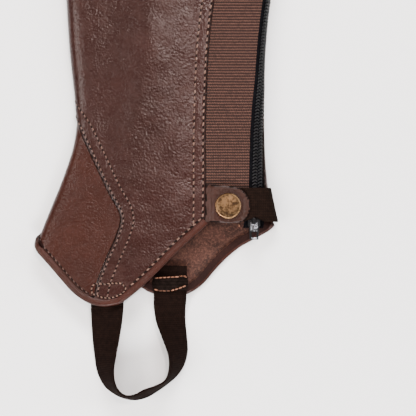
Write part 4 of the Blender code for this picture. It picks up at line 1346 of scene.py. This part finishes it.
def lock_strap_depth(flat):
    """Depth of the strap's outer face: negative, as it stands above the leather."""
    along, height = flat[:, 0], flat[:, 1]
    climbing = ease((wall_x(along, height) - CLIMB_START) / CLIMB_RUN)
    over_zip = np.where(along < section(height)[5], climbing, 1.0)
    to_slider = np.hypot((along - zip_middle(height)) / ARCH_HALF_WIDTH,
                         (height - LOCK_STRAP_FOOT) / ARCH_LENGTH)
    arch = np.maximum(0.0, 1.0 - to_slider ** 2)
    return -(STRAP_CLOTH - SUNK + CLIMB * over_zip + ARCH_RISE * arch)


def strap_relief(flat, gap):
    return lock_strap_depth(flat) + rolled_edge(gap, STRAP_EDGE_DROP, STRAP_EDGE_REACH)


def lock_strap_outline():
    start = float(near_distance(LOCK_STRAP_END, 60.0))
    lower_end, upper_end = (float(section(height)[5] + 0.5 * section(height)[3])
                            for height in (LOCK_STRAP_FOOT, LOCK_STRAP_TOP))
    low = np.linspace(start, lower_end, 50)
    lift = np.exp(-((low - zip_middle(52.0)) / FOOT_LIFT_WIDTH) ** 2)
    foot = LOCK_STRAP_FOOT + FOOT_LIFT * lift
    rise = np.linspace(LOCK_STRAP_FOOT, LOCK_STRAP_TOP, 22)[1:-1]
    side = np.interp(rise, [LOCK_STRAP_FOOT, LOCK_STRAP_TOP], [lower_end, upper_end])
    top = np.linspace(upper_end, start, 44)
    return np.vstack([np.stack([low, foot], 1), np.stack([side, rise], 1),
                      np.stack([top, np.full(44, LOCK_STRAP_TOP)], 1),
                      np.stack([np.full(18, start), rise[-2::-1][:18]], 1)])


lock_strap, lock_area = cut_panel(
    "lock_strap_webbing", lock_strap_outline(), 0.0, STRAP_CLOTH, [LOCK_WEBBING], strap_relief,
    row_step=1.0, near_step=1.0, far_step=2.0, turns=9, follow=1.0)

# %% [markdown]
# The snap tab is a thick leather tongue, sewn in at its left end, which climbs over
# the lock strap and holds it with the snap. Its edge is turned under, which rounds
# it, and a shallow line near the sewn end shows where it dips into the seam.

# %% Snap tab
TAB_LEATHER = 1.4
TAB_LIFT = 0.45
TAB_CLIMB_START = 28.3
TAB_CLIMB_RUN = 4.7
TAB_DIP_PLACE = 30.2
TAB_DIP_WIDTH = 0.8
TAB_DIP = 0.22
TAB_EDGE_LINES = (0.4, 0.8, 1.2)
TAB_EDGE_DROP = 0.65
TAB_EDGE_REACH = 1.25

# x, height, from the sewn end's foot round by the top
TAB_OUTLINE = [
    (27.2, 51.3), (27.5, 73.6), (37.0, 72.9), (44.4, 72.1), (48.6, 70.6), (51.8, 67.4),
    (53.8, 63.2), (54.0, 59.4), (52.9, 55.6), (51.0, 52.6), (48.2, 50.9), (42.0, 50.4),
    (35.0, 50.7),
]


def tab_depth(flat):
    low = TAB_LEATHER - SUNK
    over = TAB_LIFT + TAB_LEATHER - lock_strap_depth(flat)
    climbing = ease((wall_x(flat[:, 0], flat[:, 1]) - TAB_CLIMB_START) / TAB_CLIMB_RUN)
    return -(low + (over - low) * climbing)


def tab_outline():
    corners = [(float(near_distance(x, height)), height) for x, height in TAB_OUTLINE]
    rounded = smooth_points(corners[1:] + corners[:1], 0.9)[:-1]
    left = np.linspace(corners[0], corners[1], 20)[:-1]
    return np.vstack([left, rounded])


def tab_relief(flat, gap):
    from_dip = (wall_x(flat[:, 0], flat[:, 1]) - TAB_DIP_PLACE) / TAB_DIP_WIDTH
    rolled = rolled_edge(gap, TAB_EDGE_DROP, TAB_EDGE_REACH)
    return tab_depth(flat) + rolled + TAB_DIP * np.exp(-from_dip ** 2)


tab, tab_area = cut_panel(
    "snap_tab_leather", tab_outline(), 0.0, TAB_LEATHER, [TAB_LEATHER_FACE, SUEDE, EDGE_PAINT_AND_SHADE],
    tab_relief, row_step=0.8, near_step=0.8, far_step=2.0, turns=9, follow=1.0,
    lines=[inset(tab_outline(), distance) for distance in TAB_EDGE_LINES])
for piece, node, slot in ((lock_strap, "lock_strap", "dark_webbing"),
                          (tab, "snap_tab", "brown_leather")):
    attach(piece, "gaiter")
    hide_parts(node)

# %% [markdown]
# The strap under the boot is one length of dark webbing. It comes down inside the
# near layer, turns on edge in its bend, and ends inside the far layer, where it is
# folded back and sewn. Its twist is worked out from how wide it looks from above:
# where it looks narrower than it is, the rest of its width stands upright.

# %% Underfoot strap
UNDERFOOT_WIDTH = 19.8
UNDERFOOT_CLOTH = 1.8
FLOOR_GAP = 0.1
SELVAGE_SHARE = 0.2
SELVAGE_THINNING = 0.45
SELVAGE_RIPPLE = 0.1
RIPPLE_STEP = 1.57

# Outer edge x and height, inner edge x and height, middle above the floor
UNDERFOOT = [
    (-41.6, 14.0, -21.7, 14.0, 8.5), (-41.8, 2.0, -21.8, 2.6, 8.5),
    (-41.3, -9.0, -22.9, -9.2, 8.7), (-40.7, -18.6, -24.4, -18.6, 9.2),
    (-39.6, -28.8, -26.2, -28.0, 9.9), (-37.8, -39.6, -27.6, -36.6, 10.4),
    (-33.4, -48.2, -27.2, -43.8, 10.8), (-27.0, -53.2, -24.7, -49.6, 11.0),
    (-20.4, -55.6, -20.6, -52.8, 11.0), (-13.8, -56.3, -15.3, -52.3, 10.9),
    (-7.2, -54.4, -9.2, -49.2, 10.7), (-1.2, -50.6, -3.0, -47.2, 10.5),
    (4.4, -46.4, 2.0, -44.9, 10.4), (10.2, -41.5, 4.6, -41.2, 10.0),
    (14.3, -35.0, 5.8, -35.4, 9.0), (16.2, -27.0, 5.2, -28.2, 7.2),
    (15.8, -18.6, 1.6, -18.6, 5.6), (15.0, -9.6, -2.0, -9.4, 4.6),
    (15.1, -1.5, -3.6, -1.5, 4.8), (15.8, 5.0, -4.0, 5.0, 4.7),
    (15.9, 12.0, -4.0, 12.0, 4.4), (16.0, 17.5, -3.8, 17.5, 3.5),
    (16.1, 24.4, -3.8, 24.8, 3.4),
]


def underfoot_frames(rows):
    """Middle, across and out directions of the strap at each row."""
    outer_xy, inner_xy, middle_z = rows[:, 0:2], rows[:, 2:4], rows[:, 4]
    shown = np.linalg.norm(inner_xy - outer_xy, axis=1)
    rise = np.sqrt(np.maximum(UNDERFOOT_WIDTH ** 2 - shown ** 2, 0.0)) / 2.0
    level = np.minimum(shown / UNDERFOOT_WIDTH, 1.0)
    middle_z = np.maximum(middle_z, rise + UNDERFOOT_CLOTH / 2.0 * level + FLOOR_GAP)
    shift = np.array([MIDDLE_X, MIDDLE_Y])
    outer = np.column_stack([outer_xy - shift, middle_z - rise]) * MM
    inner = np.column_stack([inner_xy - shift, middle_z + rise]) * MM
    middle = (outer + inner) / 2.0
    run = np.gradient(middle, axis=0)
    across = inner - outer
    across /= np.linalg.norm(across, axis=1)[:, None]
    out = np.cross(across, run)
    out /= np.linalg.norm(out, axis=1)[:, None]
    return middle, across, out


def band(name, frames, half_widths, thickness, materials, bulge=0.0):
    """A woven band with rounded selvages through (middle, across, out) frames."""
    middle, across, out = frames
    columns = 9
    shares = np.linspace(-1.0, 1.0, columns)
    outer_part = np.clip((np.abs(shares) - (1.0 - SELVAGE_SHARE)) / SELVAGE_SHARE, 0.0, 1.0)
    edge = 1.0 - outer_part ** 2 * SELVAGE_THINNING
    profile = [(share, 0.5 * rise) for share, rise in zip(shares, edge)]
    profile += [(share, -0.5 * rise) for share, rise in zip(shares[::-1], edge[::-1])]
    profile = np.array(profile)
    side = profile[None, :, 0] * np.asarray(half_widths)[:, None]
    up = np.broadcast_to(profile[None, :, 1] * thickness, side.shape)
    if bulge > 0.0:
        swell = np.sin(np.linspace(0.0, math.pi, len(middle)))[:, None]
        up = up + bulge * swell * (profile[None, :, 1] > 0.0) * (1.0 - profile[None, :, 0] ** 4)
    rings = (middle[:, None] + across[:, None] * (side[..., None] * MM)
             + out[:, None] * (up[..., None] * MM))
    length = run_along(middle) / MM
    uv = np.stack([side, np.repeat(length[:, None], len(profile), 1)], -1).reshape(-1, 2)
    count = len(profile)
    faces = [[row * count + index, row * count + (index + 1) % count,
              (row + 1) * count + (index + 1) % count, (row + 1) * count + index]
             for row in range(len(middle) - 1) for index in range(count)]
    last = (len(middle) - 1) * count
    faces += [list(range(count - 1, -1, -1)), [last + index for index in range(count)]]
    thing = make_object(name, rings.reshape(-1, 3), faces, materials, uv)
    print(name, len(thing.data.polygons), "faces", round(float(length[-1]), 1), "mm long")
    return thing, float(length[-1])


strap_frames = underfoot_frames(smooth_points(UNDERFOOT, 0.65))
ripple = SELVAGE_RIPPLE * np.cos(np.arange(len(strap_frames[0])) * RIPPLE_STEP)
strap, strap_length = band("underfoot_webbing", strap_frames, UNDERFOOT_WIDTH / 2.0 + ripple,
                           UNDERFOOT_CLOTH, [FOOT_WEBBING])

# %% [markdown]
# The strap's end is folded back on itself and sewn down, so a short second layer
# lies on the strap's last rows. It follows the same frames a cloth's thickness
# higher, bulges a little in its middle, and is sewn with two rows later on.

# %% Strap's turned-back end
PATCH_LOW = 9.6
PATCH_HIGH = 18.0
PATCH_CLOTH = 1.6
PATCH_GAP = 0.3
PATCH_OVERHANG = 0.4
PATCH_SWELL = 0.5
PATCH_BULGE = 0.35

end_frames = underfoot_frames(smooth_points(UNDERFOOT[-5:], 0.5))
end_heights = end_frames[0][:, 1] / MM + MIDDLE_Y
held = (end_heights >= PATCH_LOW) & (end_heights <= PATCH_HIGH)
lift = (UNDERFOOT_CLOTH / 2.0 + PATCH_GAP + PATCH_CLOTH / 2.0) * MM
upward = np.where(end_frames[2][held][:, 2:] > 0.0, 1.0, -1.0) * end_frames[2][held]
swollen = PATCH_SWELL * np.sin(np.linspace(0.0, math.pi, int(held.sum())))
patch, patch_length = band(
    "turned_back_strap_end", (end_frames[0][held] + upward * lift, end_frames[1][held], upward),
    UNDERFOOT_WIDTH / 2.0 + PATCH_OVERHANG + swollen, PATCH_CLOTH, [PATCH_WEBBING],
    PATCH_BULGE)
for piece, node in ((strap, "underfoot_strap"), (patch, "strap_end_patch")):
    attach(piece, "gaiter")
    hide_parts(node)

# %% [markdown]
# Stitches and the turns of a coil are the same shape to a modeller: short rounded
# bars, thin at both ends. There are hundreds, so one function takes the paths of
# all of them as arrays and makes a single mesh with six sides to a bar.

# %% Bars
BAR_SIDES = 6


def bars(name, groups, materials):
    """Rounded bars. A group has paths (bar, station, xyz), outward directions, a
    width and a height at each station in millimetres, and a material number."""
    points, faces, indices = [], [], []
    total = 0
    sides = BAR_SIDES
    turns = np.arange(sides) * 2.0 * math.pi / sides
    for paths, ups, widths, rises, number in groups:
        run = np.gradient(paths, axis=1)
        run /= np.linalg.norm(run, axis=2, keepdims=True)
        ups = ups - run * (ups * run).sum(2, keepdims=True)
        ups /= np.linalg.norm(ups, axis=2, keepdims=True)
        across = np.cross(run, ups)
        widths, rises = np.asarray(widths), np.asarray(rises)
        rings = (paths[:, :, None]
                 + across[:, :, None] * (widths[None, :, None, None] * MM
                                         * np.cos(turns)[None, None, :, None])
                 + ups[:, :, None] * (rises[None, :, None, None] * MM
                                      * np.sin(turns)[None, None, :, None]))
        count, stations = paths.shape[:2]
        for bar in range(count):
            base = total + bar * stations * sides
            for station in range(stations - 1):
                for index in range(sides):
                    low = base + station * sides
                    following = (index + 1) % sides
                    faces.append([low + index, low + following,
                                  low + sides + following, low + sides + index])
            last = base + (stations - 1) * sides
            faces.append([base + index for index in range(sides - 1, -1, -1)])
            faces.append([last + index for index in range(sides)])
            indices += [number] * ((stations - 1) * sides + 2)
        points.append(rings.reshape(-1, 3))
        total += count * stations * sides
    thing = make_object(name, np.vstack(points), faces, materials, None, indices)
    print(name, len(thing.data.polygons), "faces")
    return thing


print("a bar has", BAR_SIDES, "sides")

# %% [markdown]
# The zip is a coil zip, closed. Each side is one nylon coil, and from above each of
# its turns shows as a small arch. The two sides are half a pitch apart, because
# their turns hook between each other. A woven cord runs under the turns.

# %% Zip coil
COIL_FOOT = 57.4
COIL_PITCH = 1.93
COIL_SIDE = 1.66
COIL_REACH = 1.35
COIL_RADIUS = 0.5
COIL_BOW = 0.55
COIL_RISE = 0.35
CORD_HALF_WIDTH = 2.9
CORD_DEPTH = 0.75
CORD_CLOTH = 0.55


def coil_turns():
    heights = np.arange(COIL_FOOT + 0.8, PANEL_TOP - 0.8, COIL_PITCH)
    shares = np.array([-1.0, -0.8, -0.4, 0.0, 0.4, 0.8, 1.0])
    width = COIL_RADIUS * np.array([0.45, 0.85, 1.0, 1.05, 1.0, 0.85, 0.45])
    groups = []
    for side in (-1.0, 1.0):
        rise = heights + (0.0 if side < 0.0 else COIL_PITCH / 2.0)
        along = zip_middle(rise)[:, None] + side * COIL_SIDE + shares[None] * COIL_REACH
        bow = rise[:, None] + COIL_BOW * (1.0 - 2.0 * shares[None] ** 2)
        depth = -COIL_RISE + COIL_RADIUS + 0.4 * np.abs(shares) ** 3
        paths, ups = wall(along, bow, depth[None])
        groups.append((paths, ups, width, width, 0))
    return groups


coil = bars("zip_coil_turns", coil_turns(), [NYLON])
cord_heights = np.append(np.arange(COIL_FOOT, PANEL_TOP - 1.0, 3.0), PANEL_TOP)
cords = strip("zip_coil_cords", lambda height: zip_middle(height) - CORD_HALF_WIDTH,
              lambda height: zip_middle(height) + CORD_HALF_WIDTH,
              cord_heights, 9, CORD_DEPTH, CORD_CLOTH, [ZIP_CLOTH])
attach(coil, "gaiter")
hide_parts("zip_coil")
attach(cords, "gaiter")

# %% [markdown]
# Sewing. A lockstitch dips into the leather at both ends, so each bar is highest in
# its middle, lies a little aslant, and has a dark needle hole at each end. The rows
# sit in the valleys that the leather's relief gives them, because their depth is
# read from that same relief.

# %% Stitches
THREAD_LENGTH = 0.60
THREAD_WIDTH = 0.46
THREAD_RISE = 0.36
THREAD_CREST = 0.16
THREAD_DIP = 0.35
HOLE_WIDTH = 0.62
HOLE_RISE = 0.26
HOLE_DEPTH = 0.02
HOLE_OVERLAP = 0.25
FAR_LEAST_DEPTH = 0.36
BAR_SHARES = np.array([-1.0, -0.75, 0.0, 0.75, 1.0])
BAR_TAPER = np.array([0.35, 0.85, 1.0, 0.85, 0.35])


def leather_face(flat):
    """Depth of the leather's face under a stitch."""
    on_leg = leg_relief(flat, edge_distance(LEG_CUT, flat))
    on_instep = INSTEP_DEPTH + instep_relief(flat, edge_distance(INSTEP_CUT, flat))
    return np.where(points_inside(INSTEP_CUT, flat), on_instep, on_leg)


def bars_on_line(line, run, under, middles, half, sink, slant):
    """Bar paths laid on a line, with half the bar's length on either side of each
    middle, a depth added at each station and a slant across the line."""
    reach = middles[:, None] + BAR_SHARES[None] * half
    flat = np.stack([np.interp(reach, run, line[:, 0]), np.interp(reach, run, line[:, 1])], -1)
    depth = under(flat.reshape(-1, 2)).reshape(reach.shape) + sink[None]
    depth = np.where(flat[..., 0] < 0.0, np.maximum(depth, FAR_LEAST_DEPTH), depth)
    paths, ups = wall(flat[..., 0], flat[..., 1], depth)
    heading = np.gradient(paths, axis=1)
    heading /= np.maximum(np.linalg.norm(heading, axis=2, keepdims=True), TINY)
    turned = np.cross(heading, ups)
    return paths + turned * (slant * half * MM * BAR_SHARES[None, :, None]), ups


def stitch_groups(line, under, pitch, slant=0.16, size=1.0, share=THREAD_LENGTH):
    """Thread bars and needle holes along a row given in wall coordinates."""
    line = evenly(line, 0.3)
    run = run_along(wall(line[:, 0], line[:, 1])[0] / MM)
    count = max(1, round(run[-1] / pitch))
    length = run[-1] / count
    arch = np.array([THREAD_DIP, 0.0, -THREAD_CREST, 0.0, THREAD_DIP])
    threads, thread_ups = bars_on_line(line, run, under, (np.arange(count) + 0.5) * length,
                                       share * length / 2.0, arch * size, slant)
    holes, hole_ups = bars_on_line(line, run, under, np.arange(count + 1) * length,
                                   (1.0 - share) * length / 2.0 + HOLE_OVERLAP,
                                   np.full(5, HOLE_DEPTH), slant)
    taper = BAR_TAPER
    return [(threads, thread_ups, THREAD_WIDTH * size * taper, THREAD_RISE * size * taper, 0),
            (holes, hole_ups, HOLE_WIDTH * size * taper, HOLE_RISE * taper, 1)]


print("thread", THREAD_WIDTH * 2.0, "mm wide, holes", HOLE_WIDTH * 2.0, "mm")

# %% [markdown]
# The long seam's stitches are 3.9 mm apart and the instep seam's 3.1 mm, in a tan
# polyester thread. A duller thread holds the binding along the instep. At the foot
# the strap's hidden end is held by a box of stitches with a bowed top.

# %% Sewn rows
LONG_PITCH = 3.9
SEAM_PITCH = 3.1
BOX_PITCH = 2.35
HEM_PITCH = 4.2
HEM_FINE_PITCH = 3.3
TOP_ROW_PLACE = 424.0
TOP_ROW_FROM_ZIP = 6.0
BOX_LEFT = (-42.5, 7.0)
BOX_RIGHT = (-19.0, 12.5)

# x, height, once round
STITCH_BOX = [
    (-40.7, 7.5), (-41.1, 11.4), (-39.3, 13.7), (-36.1, 13.9), (-32.6, 13.6), (-30.1, 14.2),
    (-26.9, 14.2), (-23.6, 14.2), (-21.8, 12.8), (-20.5, 11.2), (-21.6, 9.3), (-23.2, 7.9),
    (-25.5, 6.8), (-27.4, 6.1), (-29.6, 5.5), (-32.9, 5.5), (-35.8, 6.1), (-38.2, 7.3),
    (-40.7, 7.5),
]


def sew(name, rows, under, pitch, finish, **options):
    groups = []
    for row in rows:
        groups += stitch_groups(row, under, pitch, **options)
    thing = bars(name, groups, [finish, HOLE_DARK])
    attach(thing, "gaiter")
    return thing


sew("long_seam_stitches", EDGE_LINES, leather_face, LONG_PITCH, TAN_THREAD)
sew("instep_seam_stitches", SEAM_LINES, leather_face, SEAM_PITCH, SEAM_THREAD, size=0.9)
box_end = float(near_distance(*BOX_RIGHT))
box_start = float(near_distance(*BOX_LEFT))
sew("hem_stitches_leg", [HEM_STITCHES[HEM_STITCHES[:, 0] > box_end]], leather_face,
    HEM_PITCH, TAN_THREAD, share=0.5)
sew("hem_stitches_instep", [HEM_STITCHES[HEM_STITCHES[:, 0] < box_start]], leather_face,
    HEM_FINE_PITCH, DULL_THREAD, size=0.7, share=0.45)
box_path = [(float(near_distance(x, height)), height) for x, height in STITCH_BOX]
sew("strap_box_stitches", [smooth_points(box_path, 0.6)], leather_face, BOX_PITCH,
    TAN_THREAD, size=0.9, slant=0.3)
row_zip = float(zip_middle(TOP_ROW_PLACE))
row_zip_behind = float(zip_middle(TOP_ROW_PLACE) - 2.0 * section(TOP_ROW_PLACE)[5])
top_row_line = [(row_zip - TOP_ROW_FROM_ZIP, TOP_EDGE - TOP_ROW), (0.0, TOP_EDGE - TOP_ROW),
                (row_zip_behind + TOP_ROW_FROM_ZIP, TOP_EDGE - TOP_ROW)]
sew("top_stitches", [np.array(top_row_line)], leather_face, HEM_PITCH, TAN_THREAD)

# %% [markdown]
# The strap's end is sewn through in two rows of bright copper thread. The strap is
# twisted there, so these stitches can't read a pattern: each point is dropped from
# above onto the cloth by a ray, and its bar is laid where the ray lands. A loose
# thread end below the tab is laid on the far leather in the same way.

# %% Strap end's stitches
PATCH_PITCH = 2.6
PATCH_SHARE = 0.42
PATCH_THREAD = (0.42, 0.32)
LOOSE_THREAD = (0.42, 0.36)
RAY_START = 60.0

# x, height
PATCH_ROWS = [
    [(-3.4, 17.2), (0.6, 17.4), (6.0, 17.7), (11.0, 18.0), (14.6, 18.3), (15.9, 17.4)],
    [(-3.6, 10.4), (0.2, 9.6), (6.4, 9.7), (11.3, 11.0), (15.6, 12.7)],
]
THREAD_END = [(47.4, 49.9), (47.6, 49.4), (47.7, 48.9), (47.7, 48.4), (47.6, 48.0)]


def drop_on(pieces, places, lift):
    """Points on the highest of some pieces, straight below places given in millimetres."""
    bpy.context.view_layer.update()
    found = []
    for x, y in places:
        start = world(x, y, RAY_START)
        hits = [piece.ray_cast(start, Vector((0.0, 0.0, -1.0))) for piece in pieces]
        found.append(max(hit[1].z for hit in hits if hit[0]) + lift * MM)
    return np.array([[*world(x, y)[:2], z] for (x, y), z in zip(places, found)])


def upright_bars(points, size):
    """A group of bars whose outward direction is straight up."""
    ups = np.zeros_like(points)
    ups[..., 2] = 1.0
    return points, ups, size[0] * BAR_TAPER, size[1] * BAR_TAPER, 0


def patch_stitches():
    groups = []
    for row in PATCH_ROWS:
        line = smooth_points(row, 0.4)
        run = run_along(line)
        count = round(run[-1] / PATCH_PITCH)
        middles = (np.arange(count) + 0.5) * run[-1] / count
        reach = middles[:, None] + BAR_SHARES[None] * PATCH_SHARE * run[-1] / count
        places = np.stack([np.interp(reach, run, line[:, 0]),
                           np.interp(reach, run, line[:, 1])], -1)
        points = drop_on([strap, patch], places.reshape(-1, 2), 0.1)
        groups.append(upright_bars(points.reshape(*reach.shape, 3), PATCH_THREAD))
    groups.append(upright_bars(drop_on([leg], THREAD_END, 0.3)[None], LOOSE_THREAD))
    return groups


patch_seam = bars("patch_stitches", patch_stitches(), [COPPER_THREAD])
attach(patch_seam, "gaiter")
print("sewn rows done")

# %% [markdown]
# Hard pieces are small. The pull is a flat tapered plate of black zinc with an eye
# for the slider's bridge and a slot near its end. Its raised face and end bar are
# bright. Each starts as a cube: edit mode sizes it, the corners at the foot end are
# chosen by place and drawn in, and a bevel rounds it.

# %% Zip pull
# The hinge's place in the frame, in metres
PIVOT = Vector((0.04265, -0.13447, 0.013906))
HALF_THICK = 0.4
FACE_LOW = HALF_THICK - 0.15
FACE_HIGH = HALF_THICK + 0.18
ROUND_ANGLE = 35.0

# Width at the head and at the foot, distances of head and foot from the pivot,
# underside and top, rounding
PLATE = (6.4, 5.3, -0.45, 11.6, -HALF_THICK, HALF_THICK, 0.3)
EYE = (2.4, 2.4, 0.45, 2.3, -1.0, 1.0, 0.25)
SLOT = (3.0, 2.8, 7.0, 9.9, -1.0, 1.0, 0.35)
FACE = (4.9, 4.3, 1.3, 6.5, FACE_LOW, FACE_HIGH, 0.14)
END_BAR = (3.7, 3.4, 10.3, 11.45, FACE_LOW, FACE_HIGH, 0.14)


def deselect():
    for thing in bpy.context.selected_objects:
        thing.select_set(False)


def tapered_block(name, head_width, foot_width, head, foot, low, high, bevel, material):
    """A block hanging from the pivot: head and foot are distances along -Y."""
    deselect()
    bpy.ops.mesh.primitive_cube_add(size=1.0)
    block = bpy.context.object
    block.name = name
    bpy.ops.object.mode_set(mode="EDIT")
    bpy.ops.mesh.select_all(action="SELECT")
    size = (head_width * MM, (foot - head) * MM, (high - low) * MM)
    place = PIVOT + Vector((0.0, -(head + foot) / 2.0 * MM, (low + high) / 2.0 * MM))
    bpy.ops.transform.resize(value=size)
    bpy.ops.transform.translate(value=place)
    bpy.ops.mesh.select_all(action="DESELECT")
    bpy.ops.object.mode_set(mode="OBJECT")
    for corner in block.data.vertices:
        corner.select = corner.co.y < place.y
    bpy.ops.object.mode_set(mode="EDIT")
    bpy.ops.transform.resize(value=(foot_width / head_width, 1.0, 1.0), center_override=place)
    bpy.ops.object.mode_set(mode="OBJECT")
    if material is not None:
        block.data.materials.append(material)
    if bevel > 0.0:
        rounding = block.modifiers.new("Rounding", "BEVEL")
        rounding.width = bevel * MM
        rounding.segments = 3
        bpy.ops.object.modifier_apply(modifier=rounding.name)
    return block


def cut_out(piece, tools):
    for tool in tools:
        cutting = piece.modifiers.new("Cut", "BOOLEAN")
        cutting.operation = "DIFFERENCE"
        cutting.object = tool
        deselect()
        bpy.context.view_layer.objects.active = piece
        piece.select_set(True)
        bpy.ops.object.modifier_apply(modifier=cutting.name)


eye_tool = tapered_block("eye_tool", *EYE, None)
slot_tool = tapered_block("slot_tool", *SLOT, None)
pull_frame = tapered_block("zip_pull_plate", *PLATE, BLACK_METAL)
cut_out(pull_frame, [eye_tool, slot_tool])
pull_face = tapered_block("zip_pull_face", *FACE, BRIGHT_METAL)
cut_out(pull_face, [eye_tool])
pull_end = tapered_block("zip_pull_end_bar", *END_BAR, BRIGHT_METAL)
for tool in (eye_tool, slot_tool):
    bpy.data.objects.remove(tool, do_unlink=True)
for piece in (pull_frame, pull_face, pull_end):
    deselect()
    bpy.context.view_layer.objects.active = piece
    piece.select_set(True)
    bpy.ops.object.shade_smooth_by_angle(angle=math.radians(ROUND_ANGLE))
    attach(piece, "pull")
    print(piece.name, len(piece.data.polygons), "faces")
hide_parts("zip_pull")

# %% [markdown]
# The snap's cap and the slider have their true shapes in the frame already, so
# they stay and only get better finishes. The cap is left bare of any letter.

# %% Finishes of the frame's own pieces
SNAP_CENTRE = ((40.8 - MIDDLE_X) * MM, (60.7 - MIDDLE_Y) * MM, 0.0)
CAP_RADIUS = 7.8
# Old brass: a bright rim, partly rubbed and partly a painted highlight, round a
# patchy brown and gold field
BRASS = antique_brass("antique_brass_plate", "#84694a", "#1f160f", SNAP_CENTRE,
                      CAP_RADIUS * MM)
frame["nodes"]["snap_cap"].material_slots[0].material = BRASS
frame["nodes"]["zip_slider"].material_slots[0].material = BLACK_METAL
